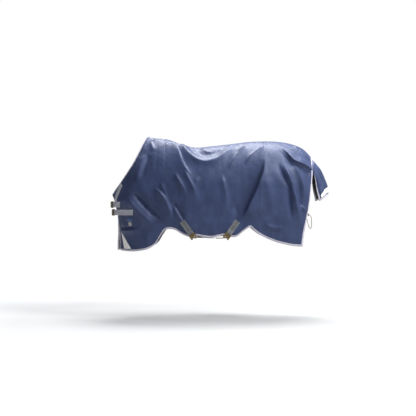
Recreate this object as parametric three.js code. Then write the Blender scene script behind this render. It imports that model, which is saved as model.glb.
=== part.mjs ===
// Turnout rug for a horse, closed at the chest and under the belly, in the shape it takes on the horse.
// Millimetres. +X runs from the chest to the tail, +Z is up, and the left side of the horse is at -Y.
// The shape is drawn with the outer skin's lowest back point at z = 0. The whole rug is then raised, so
// that the origin is where its spine tape bears on the lowest point of the horse's back.
import * as THREE from 'three';

// ---------- driving dimensions ----------
const OUTER_THICK = 1.6;
const FILL_THICK = 4;
const LINING_THICK = 1.2;
const TAPE_THICK = 1;
const TAPE_HALF = 10;
const TAPE_CLEAR = 1.4; // the lining stands this far off the tape, so that its folds don't reach it
const LAYER_GAP = 0.4;
const EDGE_GAP = 0.6; // between the layers' edges and the binding
const SEAM_GAP = 0.45;
const HALF_GAP = 0.25; // each half stops this far from the centre plane
const BINDING_WIDTH = 16;
const BINDING_PROUD = 1.2;
const WEBBING_WIDTH = 50;
const WEBBING_THICK = 2;
const WEBBING_LIFT = 4; // sewn webbing stands this far off the drawn skin
const CHEST_LIFT = 7; // the same beside the neck edge, where the skin bends most
const METAL_THICK = 3;

const FILL_TOP = -OUTER_THICK - LAYER_GAP;
const LINING_TOP = FILL_TOP - FILL_THICK - LAYER_GAP;
const LINING_BASE = LINING_TOP - LINING_THICK;
const TAPE_TOP = LINING_BASE - TAPE_CLEAR;
const TAPE_BASE = TAPE_TOP - TAPE_THICK;
const BACK_RISE = -TAPE_BASE;

// Stations run from the centre front (0) round the shoulder and along the body to the tail end (15).
// Each has a point on the spine, one on the side line (the widest line of the body) and a foot below it.
const SPINE = [
  [-436, 98], [-412, 93], [-386, 88], [-360, 83], [-330, 78], [-235, 66], [-110, 18], [0, 0],
  [140, 13], [289, 30], [430, 47], [574, 53], [700, 48], [810, 27], [900, -12], [976, -85],
];
const SIDE = [
  [-718, 3, -395], [-690, 85, -440], [-602, 190, -450], [-470, 240, -400], [-340, 262, -345],
  [-215, 285, -335], [-90, 303, -340], [30, 311, -350], [150, 311, -350], [285, 302, -340],
  [410, 294, -330], [535, 292, -325], [650, 288, -330], [760, 279, -350], [855, 260, -410],
  [925, 225, -540],
];
const FOOT = [
  [-652, 25], [-622, 98], [-532, 180], [-425, 222], [-330, 228], [-205, 238], [-85, 252], [35, 258],
  [155, 258], [285, 252], [405, 248], [500, 246], [600, 245], [700, 244], [790, 246], [872, 252],
];
const FOOT_Z = -880;
const FULLNESS = [1.3, 1.3, 1.3, 1.25, 1.2, 1.1, 1, 1, 1, 1, 1, 1.02, 1.08, 1.2, 1.4, 1.6];
const LAST_STATION = 15;
const SHOULDER_STATION = 4; // the neck opening's shape fades out here
const FRONT_SEAM = 4.7;
const HIP_SEAM = 10.9;
const NECK_HALF_WIDTH = 140;
const NECK_BOW = 28; // how far the neck edge bows back from a straight line
const NECK_ROUNDNESS = 0.85; // 1 makes the neck edge a plain sine, less makes it squarer
const CHEST_TUCK = 2.6; // how quickly the chest falls back below the neck edge
const BODY_TUCK = 1.5; // the same for each station's lean above and below the side line
const FAR_FLARE = -26; // the right front corner stands this much ahead of the left one
const FLARE_END = 2; // the station where that fades out

// The hem's height along the body: front corner, fore-leg arch, girth, hind-leg arch and rear corner.
const HEM = [
  [-655, -870], [-550, -874], [-461, -866], [-401, -850], [-342, -812], [-300, -745], [-265, -698],
  [-216, -686], [-171, -697], [-110, -733], [-50, -749], [0, -742], [50, -750], [120, -757],
  [180, -746], [235, -736], [285, -752], [330, -747], [385, -705], [441, -671], [480, -703],
  [545, -748], [659, -794], [785, -824], [890, -832],
];

// The lock at the end of each strap: a slotted plate on the left, a T-shaped hook on the right.
const BELLY_LOCK = {
  plateLength: 44, plateHalf: 27, slotHalf: 11, slotDepth: 6, tip: 7, chamfer: 4, rim: 3,
  neckHalf: 3, headHalf: 18, headGap: 1.7, headThick: 4.5, neckLength: 12, ringDepth: 18, loopLength: 21,
};
const CHEST_LOCK = {
  plateLength: 34, plateHalf: 27, slotHalf: 7, slotDepth: 5, tip: 6, chamfer: 4, rim: 3,
  neckHalf: 4, headHalf: 13, headGap: 1.5, headThick: 3.5, neckLength: 9, ringDepth: 16, loopLength: 12,
};
const RING_BAR = 5;
const EYE_OUTER = 5.6;
const EYE_INNER = 3.7;
const STRAP_THICK = 2.5;
const STRAP_HALF = 23.5;

const BELLY_Z = -757;
const BELLY_STRAPS = [
  { name: 'front', leftX: -22, rightX: 240, sag: 1 },
  { name: 'rear', leftX: 240, rightX: -22, sag: 11 },
];
const TAB_TOP_Z = -622;
const TAB_LEAN = 0.58; // how far each belly tab leans along the body, per unit of its length
const UPPER_CHEST_WIDTH = 44;
const LOWER_CHEST_WIDTH = 54;
const CHEST_STRAPS = [
  { name: 'upper', x: -730, z: -484, reach: 42 },
  { name: 'lower', x: -720, z: -550, reach: 48 },
];

const NAVY = { color: 0x3a4266, roughness: 0.45, metalness: 0 };
const BLACK = { color: 0x0c0d12, roughness: 0.6, metalness: 0 };
const WADDING = { color: 0xd8d8d4, roughness: 0.95, metalness: 0 };
const BRAID = { color: 0x8f8c9c, roughness: 0.7, metalness: 0 };
const WEBBING = { color: 0x6b6d72, roughness: 0.8, metalness: 0 };
const SILVER = { color: 0xc9c6c2, roughness: 0.35, metalness: 0.2 };
const LABEL = { color: 0x224c7a, roughness: 0.6, metalness: 0 };
const BRASS = { color: 0xb08a4a, roughness: 0.35, metalness: 0.9 };
const CORD = { color: 0xd5d2ca, roughness: 0.8, metalness: 0 };

const rug = new THREE.Group();
rug.position.z = BACK_RISE;

// ---------- small helpers ----------
const vec = (x, y, z) => new THREE.Vector3(x, y, z);
const mix = (a, b, t) => a + (b - a) * t;

function addMesh(name, geometry, finish) {
  const mesh = new THREE.Mesh(geometry, new THREE.MeshStandardMaterial(finish));
  mesh.name = name;
  rug.add(mesh);
}

// A smooth curve through evenly numbered points of any dimension.
function along(points, u) {
  const i = Math.min(Math.floor(u), points.length - 2);
  const f = u - i;
  const p1 = points[i];
  const p2 = points[i + 1];
  return p1.map((b, k) => {
    const c = p2[k];
    const a = i > 0 ? points[i - 1][k] : 2 * b - c;
    const d = i + 2 < points.length ? points[i + 2][k] : 2 * c - b;
    return b + 0.5 * f * (c - a + f * (2 * a - 5 * b + 4 * c - d + f * (3 * (b - c) + d - a)));
  });
}

// A smooth height over x, through points at uneven distances.
function heightAt(points, x) {
  const last = points.length - 1;
  const slope = (i) => {
    const a = points[Math.max(i - 1, 0)];
    const b = points[Math.min(i + 1, last)];
    return (b[1] - a[1]) / (b[0] - a[0]);
  };
  const clamped = Math.min(Math.max(x, points[0][0]), points[last][0]);
  const i = Math.min(points.findLastIndex((p) => p[0] <= clamped), last - 1);
  const span = points[i + 1][0] - points[i][0];
  const t = (clamped - points[i][0]) / span;
  const s = t * t * (3 - 2 * t);
  return mix(points[i][1], points[i + 1][1], s)
    + span * (slope(i) * t * (1 - t) ** 2 - slope(i + 1) * t * t * (1 - t));
}

// A closed body from a grid of nodes { point, normal }, between two heights above the grid.
function slab(grid, top, base) {
  const rows = grid.length;
  const cols = grid[0].length;
  const positions = [];
  for (const height of [top, base]) {
    for (const { point, normal } of grid.flat()) {
      positions.push(...point.clone().addScaledVector(normal, height).toArray());
    }
  }
  const at = (layer, i, j) => layer * rows * cols + i * cols + j;
  const faces = [];
  const quad = (a, b, c, d) => faces.push(a, b, c, a, c, d);
  for (let i = 0; i + 1 < rows; i++) {
    for (let j = 0; j + 1 < cols; j++) {
      quad(at(0, i, j), at(0, i + 1, j), at(0, i + 1, j + 1), at(0, i, j + 1));
      quad(at(1, i, j), at(1, i, j + 1), at(1, i + 1, j + 1), at(1, i + 1, j));
    }
    quad(at(0, i, 0), at(1, i, 0), at(1, i + 1, 0), at(0, i + 1, 0));
    quad(at(0, i, cols - 1), at(0, i + 1, cols - 1), at(1, i + 1, cols - 1), at(1, i, cols - 1));
  }
  for (let j = 0; j + 1 < cols; j++) {
    quad(at(0, 0, j), at(0, 0, j + 1), at(1, 0, j + 1), at(1, 0, j));
    quad(at(0, rows - 1, j), at(1, rows - 1, j), at(1, rows - 1, j + 1), at(0, rows - 1, j + 1));
  }
  return outward(positions, faces);
}

// A geometry whose faces are turned over if they enclose a negative volume.
function outward(positions, faces) {
  const corner = (i) => vec(...positions.slice(3 * i, 3 * i + 3));
  let volume = 0;
  for (let f = 0; f < faces.length; f += 3) {
    volume += corner(faces[f]).dot(corner(faces[f + 1]).cross(corner(faces[f + 2])));
  }
  const geometry = new THREE.BufferGeometry();
  geometry.setAttribute('position', new THREE.Float32BufferAttribute(positions, 3));
  geometry.setIndex(volume < 0 ? faces.reverse() : faces);
  return geometry;
}

// A flat shape of the given thickness, centred on its plane, with its x and y along two directions.
function plate(shape, thickness, origin, xDir, yDir) {
  const extrusion = { depth: thickness, bevelEnabled: false, curveSegments: 12 };
  const geometry = new THREE.ExtrudeGeometry(shape, extrusion);
  geometry.translate(0, 0, -thickness / 2);
  const zDir = xDir.clone().cross(yDir);
  geometry.applyMatrix4(new THREE.Matrix4().makeBasis(xDir, yDir, zDir).setPosition(origin));
  return geometry;
}

function polygon(corners) {
  return new THREE.Shape(corners.map(([x, y]) => new THREE.Vector2(x, y)));
}

const rectangle = (x0, x1, y0, y1) => polygon([[x0, y0], [x1, y0], [x1, y1], [x0, y1]]);

// ---------- the skin: one side of the rug as a surface over (u, v) ----------
// u is the station. v runs from the spine (0) or neck edge to the side line (1), then down to the foot (2).
function neckEdge(t) {
  const [topX, topZ] = SPINE[0];
  const [lowX, lowY, lowZ] = SIDE[0];
  const length = Math.hypot(lowX - topX, lowZ - topZ);
  const bow = NECK_BOW * Math.sin(Math.PI * t);
  return vec(
    mix(topX, lowX, t) - (bow * (lowZ - topZ)) / length,
    NECK_HALF_WIDTH * Math.sin(Math.PI * t) ** NECK_ROUNDNESS + lowY * t,
    mix(topZ, lowZ, t) + (bow * (lowX - topX)) / length,
  );
}

function rib(u, t) {
  const [topX, topZ] = along(SPINE, u);
  const side = along(SIDE, u);
  const fullness = along(FULLNESS.map((f) => [f]), u)[0];
  const angle = (t * Math.PI) / 2;
  const cos = Math.cos(angle);
  return vec(
    mix(topX, side[0], (1 - cos) ** BODY_TUCK),
    side[1] * Math.sin(angle) ** fullness,
    mix(side[2], topZ, cos),
  );
}

function skinPoint(u, v, side) {
  const widest = along(SIDE, u);
  if (v > 1) {
    const t = v - 1;
    const foot = along(FOOT, u);
    const tuck = u < SHOULDER_STATION ? CHEST_TUCK : BODY_TUCK;
    const flare = side > 0 ? FAR_FLARE * Math.max(0, 1 - u / FLARE_END) ** 2 : 0;
    return vec(
      mix(foot[0] + flare * t, widest[0], (1 - t) ** tuck),
      side * (widest[1] - (widest[1] - foot[1]) * t * t + HALF_GAP),
      mix(widest[2], FOOT_Z, t),
    );
  }
  if (u >= SHOULDER_STATION) {
    const p = rib(u, v);
    return vec(p.x, side * (p.y + HALF_GAP), p.z);
  }
  // Between the neck edge and the shoulder rib, the surface is stretched over its four edges.
  const fade = 1 - (1 - u / SHOULDER_STATION) ** 2;
  const neck = neckEdge(v);
  const shoulder = rib(SHOULDER_STATION, v);
  const [spineX, spineZ] = along(SPINE, u);
  const top = vec(spineX, 0, spineZ);
  const low = vec(...widest);
  const blend = (a, b) => a.clone().lerp(b, fade);
  const p = blend(neck, shoulder)
    .addScaledVector(top.sub(blend(neckEdge(0), rib(SHOULDER_STATION, 0))), 1 - v)
    .addScaledVector(low.sub(blend(neckEdge(1), rib(SHOULDER_STATION, 1))), v);
  return vec(p.x, side * (p.y + HALF_GAP), p.z);
}

const STEP = 1e-3;

function slopes(u, v, side) {
  const u0 = Math.min(Math.max(u, STEP), LAST_STATION - STEP);
  const v0 = Math.max(v, 2 * STEP);
  const du = skinPoint(u0 + STEP, v0, side).sub(skinPoint(u0 - STEP, v0, side)).divideScalar(2 * STEP);
  const dv = skinPoint(u0, v0 + STEP, side).sub(skinPoint(u0, v0 - STEP, side)).divideScalar(2 * STEP);
  return { du, dv, cross: du.clone().cross(dv) };
}

// A node on the skin, with its normal pointing away from the horse.
function node(u, v, side) {
  const normal = slopes(u, v, side).cross.multiplyScalar(side);
  if (v === 0) normal.y = 0;
  return { point: skinPoint(u, v, side), normal: normal.normalize() };
}

// How far u or v moves to get a given distance in from an edge.
function stepU(u, v, side, distance) {
  const s = slopes(u, v, side);
  return (distance * s.dv.length()) / s.cross.length();
}
function stepV(u, v, side, distance) {
  const s = slopes(u, v, side);
  return (distance * s.du.length()) / s.cross.length();
}

// The v at which the skin reaches the hem.
function hemV(u, side) {
  let low = 1;
  let high = 2;
  for (let i = 0; i < 30; i++) {
    const middle = (low + high) / 2;
    const p = skinPoint(u, middle, side);
    if (p.z > heightAt(HEM, p.x)) low = middle;
    else high = middle;
  }
  return (low + high) / 2;
}

// The (u, v) where the skin has the given x and z.
function find(x, z, side) {
  let u = SIDE.findIndex((p) => p[0] > x);
  let v = 1;
  for (let i = 0; i < 25; i++) {
    const p = skinPoint(u, v, side);
    const { du, dv } = slopes(u, v, side);
    const det = du.x * dv.z - dv.x * du.z;
    const ex = x - p.x;
    const ez = z - p.z;
    u = Math.min(Math.max(u + (0.8 * (ex * dv.z - ez * dv.x)) / det, 0.02), LAST_STATION - 0.02);
    v = Math.min(Math.max(v + (0.8 * (ez * du.x - ex * du.z)) / det, 0.02), 1.98);
  }
  return [u, v];
}

// ---------- cloth layers ----------
const UPPER_ROWS = 6;
const LOWER_ROWS = 3;
const INSET = BINDING_WIDTH + EDGE_GAP;

// The u where the skin is a given distance in from the front edge, measured square to the edge. The edge
// bows, so a straight step along u would miss it.
function frontInset(v, side, distance) {
  const edge = skinPoint(0, v, side);
  const ahead = skinPoint(0, v + STEP, side).sub(skinPoint(0, Math.max(v - STEP, 0), side)).normalize();
  let low = 0;
  let high = SHOULDER_STATION;
  for (let i = 0; i < 30; i++) {
    const middle = (low + high) / 2;
    if (skinPoint(middle, v, side).sub(edge).cross(ahead).length() < distance) low = middle;
    else high = middle;
  }
  return (low + high) / 2;
}

const lastU = (v, side) => LAST_STATION - stepU(LAST_STATION, v, side, INSET);

// The v of a row at a station: the upper rows reach the side line, the rest reach down to the hem binding.
function rowV(row, u, side) {
  if (row <= UPPER_ROWS) return row / UPPER_ROWS;
  const hem = hemV(u, side);
  return mix(1, hem - stepV(u, hem, side, INSET), (row - UPPER_ROWS) / LOWER_ROWS);
}

// Columns of nodes from one u to another, both given as functions of v.
function clothGrid(start, end, columns, side) {
  const grid = [];
  for (let i = 0; i <= columns; i++) {
    const column = [];
    for (let row = 0; row <= UPPER_ROWS + LOWER_ROWS; row++) {
      let u = (i / columns) * LAST_STATION;
      let v = 0;
      for (let pass = 0; pass < 4; pass++) {
        v = rowV(row, u, side);
        u = mix(start(v), end(v), i / columns);
      }
      column.push({ u, v, ...node(u, v, side) });
    }
    grid.push(column);
  }
  return grid;
}

const SIDES = [{ name: 'left', sign: -1 }, { name: 'right', sign: 1 }];
const PANEL_COLUMNS = { front_panel: 9, barrel_panel: 10, quarter_panel: 7 };

function panelGrids(side) {
  const seam = (u, sign) => (v) => u + sign * stepU(u, v, side, SEAM_GAP / 2);
  const front = (v) => frontInset(v, side, INSET);
  const rear = (v) => lastU(v, side);
  return {
    front_panel: clothGrid(front, seam(FRONT_SEAM, -1), PANEL_COLUMNS.front_panel, side),
    barrel_panel: clothGrid(seam(FRONT_SEAM, 1), seam(HIP_SEAM, -1), PANEL_COLUMNS.barrel_panel, side),
    quarter_panel: clothGrid(seam(HIP_SEAM, 1), rear, PANEL_COLUMNS.quarter_panel, side),
  };
}

const wholeGrids = {};
for (const { name, sign } of SIDES) {
  const panels = panelGrids(sign);
  for (const [panel, grid] of Object.entries(panels)) {
    addMesh(`${name}_${panel}`, slab(grid, 0, -OUTER_THICK), NAVY);
  }
  const whole = [...panels.front_panel, ...panels.barrel_panel.slice(1), ...panels.quarter_panel.slice(1)];
  addMesh(`${name}_fill`, slab(whole, FILL_TOP, FILL_TOP - FILL_THICK), WADDING);
  addMesh(`${name}_lining`, slab(whole, LINING_TOP, LINING_BASE), BLACK);
  wholeGrids[name] = whole;
}

// The tape inside the spine seam, across both halves. It lies along the first row of each half's cloth.
function tapeEdge([spine, first]) {
  const f = TAPE_HALF / Math.abs(first.point.y);
  const between = (a, b) => a.clone().lerp(b, f);
  return { point: between(spine.point, first.point), normal: between(spine.normal, first.normal) };
}

function tapeMiddle([spine]) {
  return { point: vec(spine.point.x, 0, spine.point.z), normal: spine.normal };
}

const tapeGrid = wholeGrids.left.slice(1, -1).map((column, i) => [
  tapeEdge(column), tapeMiddle(column), tapeEdge(wholeGrids.right[i + 1]),
]);
addMesh('spine_tape', slab(tapeGrid, TAPE_TOP, TAPE_BASE), BRAID);

// ---------- braid binding round the edges ----------
// The braid is folded over the layers. Here each stretch is one bar that the layers run up to.
const BINDING_BASE = LINING_BASE - BINDING_PROUD;

function addBindings({ name, sign }) {
  const whole = wholeGrids[name];
  const hemEnd = (u) => node(u, hemV(u, sign), sign);

  // An upright edge: the rows of one end column, with a last row at the hem.
  const uprightBar = (column, edgeU, innerU) => {
    const rows = column.map(({ u, v }) => [node(edgeU, v, sign), node(innerU(u, v), v, sign)]);
    const corner = column.at(-1);
    rows.push([hemEnd(edgeU), hemEnd(innerU(corner.u, corner.v))]);
    return slab(rows, BINDING_PROUD, BINDING_BASE);
  };
  const neckInner = (u, v) => frontInset(v, sign, BINDING_WIDTH);
  const rearInner = (u, v) => u + stepU(u, v, sign, EDGE_GAP);
  addMesh(`${name}_neck_binding`, uprightBar(whole[0], 0, neckInner), BRAID);
  addMesh(`${name}_rear_binding`, uprightBar(whole.at(-1), LAST_STATION, rearInner), BRAID);

  const hem = whole.map((column) => {
    const { u, v } = column.at(-1);
    return [hemEnd(u), node(u, v + stepV(u, v, sign, EDGE_GAP), sign)];
  });
  addMesh(`${name}_hem_binding`, slab(hem, BINDING_PROUD, BINDING_BASE), BRAID);
}
SIDES.forEach(addBindings);

// ---------- pieces sewn on the skin ----------
// A ribbon that lies on the skin along a path of [x, z] points, with square ends.
function ribbonGrid(path, width, side) {
  const curve = new THREE.CatmullRomCurve3(path.map(([x, z]) => vec(x, 0, z)), false, 'centripetal');
  const steps = 2 * (path.length - 1);
  const nodes = [];
  for (let i = 0; i <= steps; i++) {
    const p = curve.getPoint(i / steps);
    nodes.push(node(...find(p.x, p.z, side), side));
  }
  return nodes.map(({ point, normal }, i) => {
    const ahead = nodes[Math.min(i + 1, steps)].point.clone().sub(nodes[Math.max(i - 1, 0)].point);
    const across = ahead.cross(normal).normalize();
    return [-1, 1].map((s) => ({ point: point.clone().addScaledVector(across, (s * width) / 2), normal }));
  });
}

function sewOn(name, path, width, side, finish, thickness = WEBBING_THICK, lift = WEBBING_LIFT) {
  addMesh(name, slab(ribbonGrid(path, width, side), lift + thickness, lift), finish);
}

// Belly tabs: webbing that leans along the body towards the middle of the belly.
const TAB_DROP = Math.sqrt(1 - TAB_LEAN ** 2);
const TAB_END_Z = { left: BELLY_Z + 57, right: BELLY_Z + 22 };

for (const { name, sign } of SIDES) {
  for (const strap of BELLY_STRAPS) {
    const x = strap[`${name}X`];
    const place = x < 100 ? 'front' : 'rear';
    const lean = (place === 'front' ? TAB_LEAN : -TAB_LEAN) / TAB_DROP;
    const xAt = (z) => x - lean * (z - BELLY_Z);
    const heights = [TAB_TOP_Z, (TAB_TOP_Z + TAB_END_Z[name]) / 2, TAB_END_Z[name]];
    sewOn(`${name}_${place}_tab`, heights.map((z) => [xAt(z), z]), WEBBING_WIDTH, sign, WEBBING);
  }
}

// Chest webbing: the upper piece runs down beside the neck edge, the lower one straight across.
const UPPER_CHEST_PATH = [[-628, -318], [-655, -372], [-676, -425], [-684, -462]];
const LOWER_CHEST_PATH = [[-524, -549], [-575, -549], [-625, -549], [-664, -549]];
for (const { name, sign } of SIDES) {
  const upper = `${name}_upper_chest_webbing`;
  sewOn(upper, UPPER_CHEST_PATH, UPPER_CHEST_WIDTH, sign, WEBBING, WEBBING_THICK, CHEST_LIFT);
  sewOn(`${name}_lower_chest_webbing`, LOWER_CHEST_PATH, LOWER_CHEST_WIDTH, sign, WEBBING);
}

// A reflective wedge at each front corner, from a point up the chest to the hem.
const WEDGE = { topX: -636, topZ: -712, lowFrontX: -610, lowRearX: -545, lowZ: -840 };
const WEDGE_ROWS = 3;
const WEDGE_BLUNT = 0.12; // the wedge's point is cut off this far down
for (const { name, sign } of SIDES) {
  const grid = [];
  for (let i = 0; i <= WEDGE_ROWS; i++) {
    const t = mix(WEDGE_BLUNT, 1, i / WEDGE_ROWS);
    const z = mix(WEDGE.topZ, WEDGE.lowZ, t);
    const front = mix(WEDGE.topX, WEDGE.lowFrontX, t);
    const rear = mix(WEDGE.topX, WEDGE.lowRearX, t);
    grid.push([front, (front + rear) / 2, rear].map((x) => node(...find(x, z, sign), sign)));
  }
  addMesh(`${name}_reflective_wedge`, slab(grid, WEBBING_LIFT + 1, WEBBING_LIFT), SILVER);
}

// A plain cloth tag with a round woven badge under it, on the left shoulder.
const BADGE = { x: -552, z: -645, radius: 20, tagX: -556, tagZ: -614, tagLength: 46, tagWidth: 15 };
sewOn('shoulder_tag', [
  [BADGE.tagX - BADGE.tagLength / 2, BADGE.tagZ], [BADGE.tagX + BADGE.tagLength / 2, BADGE.tagZ - 2],
], BADGE.tagWidth, -1, LABEL, 1);
const badgeNode = node(...find(BADGE.x, BADGE.z, -1), -1);
const badge = new THREE.CylinderGeometry(BADGE.radius, BADGE.radius, 1, 24);
badge.applyQuaternion(new THREE.Quaternion().setFromUnitVectors(vec(0, 1, 0), badgeNode.normal));
badge.translate(...badgeNode.point.clone().addScaledVector(badgeNode.normal, WEBBING_LIFT).toArray());
addMesh('shoulder_badge', badge, LABEL);

// ---------- locks ----------
// A slotted plate, open at its tip. Its x runs to the tip, and the hook's neck crosses it at the origin.
function slotPlateShape(lock) {
  const { tip, plateLength, plateHalf, slotHalf, slotDepth, chamfer, rim } = lock;
  const shape = polygon([
    [-plateLength, -plateHalf], [tip - chamfer, -plateHalf], [tip, -plateHalf + chamfer],
    [tip, -slotHalf], [-slotDepth, -slotHalf], [-slotDepth, slotHalf], [tip, slotHalf],
    [tip, plateHalf - chamfer], [tip - chamfer, plateHalf], [-plateLength, plateHalf],
  ]);
  const ringStart = -plateLength + rim;
  shape.holes.push(rectangle(ringStart, ringStart + RING_BAR, rim - plateHalf, plateHalf - rim));
  return shape;
}

// A hook like a T on a ring. Its x runs to the head, and its neck crosses the plate at the origin.
function hookShape(lock) {
  const { neckHalf, headHalf, headGap, headThick, neckLength, ringDepth } = lock;
  const ringHalf = lock.plateHalf + 2;
  const headStart = METAL_THICK / 2 + headGap;
  const headEnd = headStart + headThick;
  const ringEnd = -neckLength - ringDepth;
  const shape = polygon([
    [ringEnd, -ringHalf], [-neckLength, -ringHalf], [-neckLength, -neckHalf],
    [headStart, -neckHalf], [headStart, -headHalf], [headEnd, -headHalf],
    [headEnd, headHalf], [headStart, headHalf], [headStart, neckHalf],
    [-neckLength, neckHalf], [-neckLength, ringHalf], [ringEnd, ringHalf],
  ]);
  const eyeStart = ringEnd + RING_BAR;
  shape.holes.push(rectangle(eyeStart, -neckLength - lock.rim, lock.rim - ringHalf, ringHalf - lock.rim));
  return shape;
}

const barX = (lock) => -lock.neckLength - lock.ringDepth + RING_BAR / 2;

// The side view of a strap with an eye round a bar at the origin. The strap runs back along -x to the
// given length, and centreAt gives the height of its middle there.
function strapShape(length, steps, centreAt) {
  const top = [];
  const base = [];
  for (let i = 0; i <= steps; i++) {
    const x = mix(-EYE_OUTER, -length, i / steps);
    top.push([x, centreAt(x) + STRAP_THICK / 2]);
    base.unshift([x, centreAt(x) - STRAP_THICK / 2]);
  }
  const start = Math.PI - Math.asin(STRAP_THICK / 2 / EYE_OUTER);
  const eye = [];
  for (let i = 0; i <= 14; i++) {
    const angle = mix(-start, start, i / 14);
    eye.push([EYE_OUTER * Math.cos(angle), EYE_OUTER * Math.sin(angle)]);
  }
  const shape = polygon([...eye, ...top.slice(1), ...base.slice(0, -1)]);
  const hole = new THREE.Path();
  hole.absarc(0, 0, EYE_INNER, 0, 2 * Math.PI);
  shape.holes.push(hole);
  return shape;
}

// A short webbing loop that holds a slotted plate by its ring.
function addLoop(name, lock, cross, toTip, across) {
  const bar = cross.clone().addScaledVector(toTip, lock.rim / 2 - lock.plateLength);
  const loop = strapShape(lock.loopLength, 1, () => 0);
  addMesh(name, plate(loop, 2 * STRAP_HALF, bar, toTip, toTip.clone().cross(across)), WEBBING);
}

// ---------- chest locks ----------
// Each side's webbing ends in front of the chest at 45 degrees, so that hook and plate cross squarely.
const UP = vec(0, 0, 1);
const LEFT_TO_TIP = vec(-Math.SQRT1_2, Math.SQRT1_2, 0);
const RIGHT_TO_TIP = vec(-Math.SQRT1_2, -Math.SQRT1_2, 0);

for (const { name, x, z, reach } of CHEST_STRAPS) {
  const cross = vec(x, 0, z);
  const slotted = plate(slotPlateShape(CHEST_LOCK), METAL_THICK, cross, LEFT_TO_TIP, UP);
  addMesh(`${name}_chest_slot_plate`, slotted, BRASS);
  addLoop(`${name}_chest_plate_loop`, CHEST_LOCK, cross, LEFT_TO_TIP, UP);
  addMesh(`${name}_chest_hook`, plate(hookShape(CHEST_LOCK), METAL_THICK, cross, RIGHT_TO_TIP, UP), BRASS);
  const bar = cross.clone().addScaledVector(RIGHT_TO_TIP, barX(CHEST_LOCK));
  const strap = strapShape(reach + barX(CHEST_LOCK), 2, () => 0);
  const inward = RIGHT_TO_TIP.clone().cross(UP);
  addMesh(`${name}_chest_strap`, plate(strap, 2 * STRAP_HALF, bar, RIGHT_TO_TIP, inward), WEBBING);
}

// ---------- belly straps and their locks ----------
const TO_LEFT = vec(0, -1, 0);
const TO_TAIL = vec(1, 0, 0);
const LOCK_CLEAR = 15; // from the skin at the hem to the middle of the slotted plate
const BELLY_STRAP_HALF = 22.5;
const ADJUSTER = { from: 110, length: 16, clear: 1, wall: 4, rim: 2 };

const hemY = (x) => Math.abs(skinPoint(...find(x, heightAt(HEM, x), -1), -1).y);
const BELLY_Y = Math.max(...BELLY_STRAPS.map(({ leftX }) => hemY(leftX))) + LOCK_CLEAR;

for (const { name, leftX, rightX, sag } of BELLY_STRAPS) {
  const cross = vec(leftX, -BELLY_Y, BELLY_Z);
  const down = vec(name === 'front' ? TAB_LEAN : -TAB_LEAN, 0, -TAB_DROP);
  const across = TO_LEFT.clone().cross(down);
  addMesh(`${name}_slot_plate`, plate(slotPlateShape(BELLY_LOCK), METAL_THICK, cross, down, across), BRASS);
  addLoop(`${name}_plate_loop`, BELLY_LOCK, cross, down, across);
  addMesh(`${name}_hook`, plate(hookShape(BELLY_LOCK), METAL_THICK, cross, TO_LEFT, TO_TAIL), BRASS);

  // The strap hangs a little between its ends, and slants across to the far tab.
  const bar = cross.clone().addScaledVector(TO_LEFT, barX(BELLY_LOCK));
  const length = BELLY_Y - bar.y;
  const slant = (rightX - leftX) / length;
  const dip = (x) => 4 * sag * (x / length) * (1 + x / length);
  const strap = plate(strapShape(length, 14, dip), 2 * BELLY_STRAP_HALF, bar, TO_LEFT, UP);
  const position = strap.attributes.position;
  for (let i = 0; i < position.count; i++) {
    position.setX(i, position.getX(i) + slant * (position.getY(i) - bar.y));
  }
  addMesh(`${name}_belly_strap`, strap, WEBBING);

  // The adjuster is a flat ring round the strap, square to its slanted run.
  const fall = ((4 * sag) / length) * (1 - (2 * ADJUSTER.from) / length);
  const runDir = vec(slant, 1, -fall).normalize();
  const sideDir = vec(1, -slant, 0).normalize();
  const halfWidth = BELLY_STRAP_HALF / Math.hypot(1, slant) + ADJUSTER.clear;
  const halfThick = STRAP_THICK / 2 + ADJUSTER.clear;
  const { wall, rim } = ADJUSTER;
  const ring = rectangle(-halfWidth - wall, halfWidth + wall, -halfThick - rim, halfThick + rim);
  ring.holes.push(rectangle(-halfWidth, halfWidth, -halfThick, halfThick));
  const centre = vec(leftX + slant * ADJUSTER.from, bar.y + ADJUSTER.from, BELLY_Z + dip(-ADJUSTER.from));
  const lift = runDir.clone().cross(sideDir);
  addMesh(`${name}_adjuster`, plate(ring, ADJUSTER.length, centre, sideDir, lift), BRASS);
}

// ---------- tail flap ----------
// Rows run down the flap (0 to 4). Across it, q runs from -1 at the left edge to 1 at the right.
const FLAP_CENTRE = [[984, -108], [1027, -158], [1070, -234], [1096, -312], [1113, -405]];
const FLAP_EDGE = [
  [985, 125, -248], [993, 127, -310], [1001, 128, -372], [1012, 129, -415], [1022, 130, -455],
];
const FLAP_ROWS = 5;
const FLAP_COLUMNS = 10;
const FLAP_END = 4;
const FLAP_BAND = { row: 0.15, q: 0.075 }; // the binding's width
const FLAP_GAP = 0.008;

function flapPoint(row, q) {
  const [centreX, centreZ] = along(FLAP_CENTRE, row);
  const [edgeX, edgeY, edgeZ] = along(FLAP_EDGE, row);
  const angle = (Math.abs(q) * Math.PI) / 2;
  const y = Math.sign(q) * edgeY * Math.sin(angle);
  return vec(mix(edgeX, centreX, Math.cos(angle)), y, mix(edgeZ, centreZ, Math.cos(angle)));
}

function flapNode(row, q) {
  const r = Math.min(Math.max(row, STEP), FLAP_END - STEP);
  const down = flapPoint(r + STEP, q).sub(flapPoint(r - STEP, q));
  const across = flapPoint(r, q + STEP).sub(flapPoint(r, q - STEP));
  return { point: flapPoint(row, q), normal: down.cross(across).normalize() };
}

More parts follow.
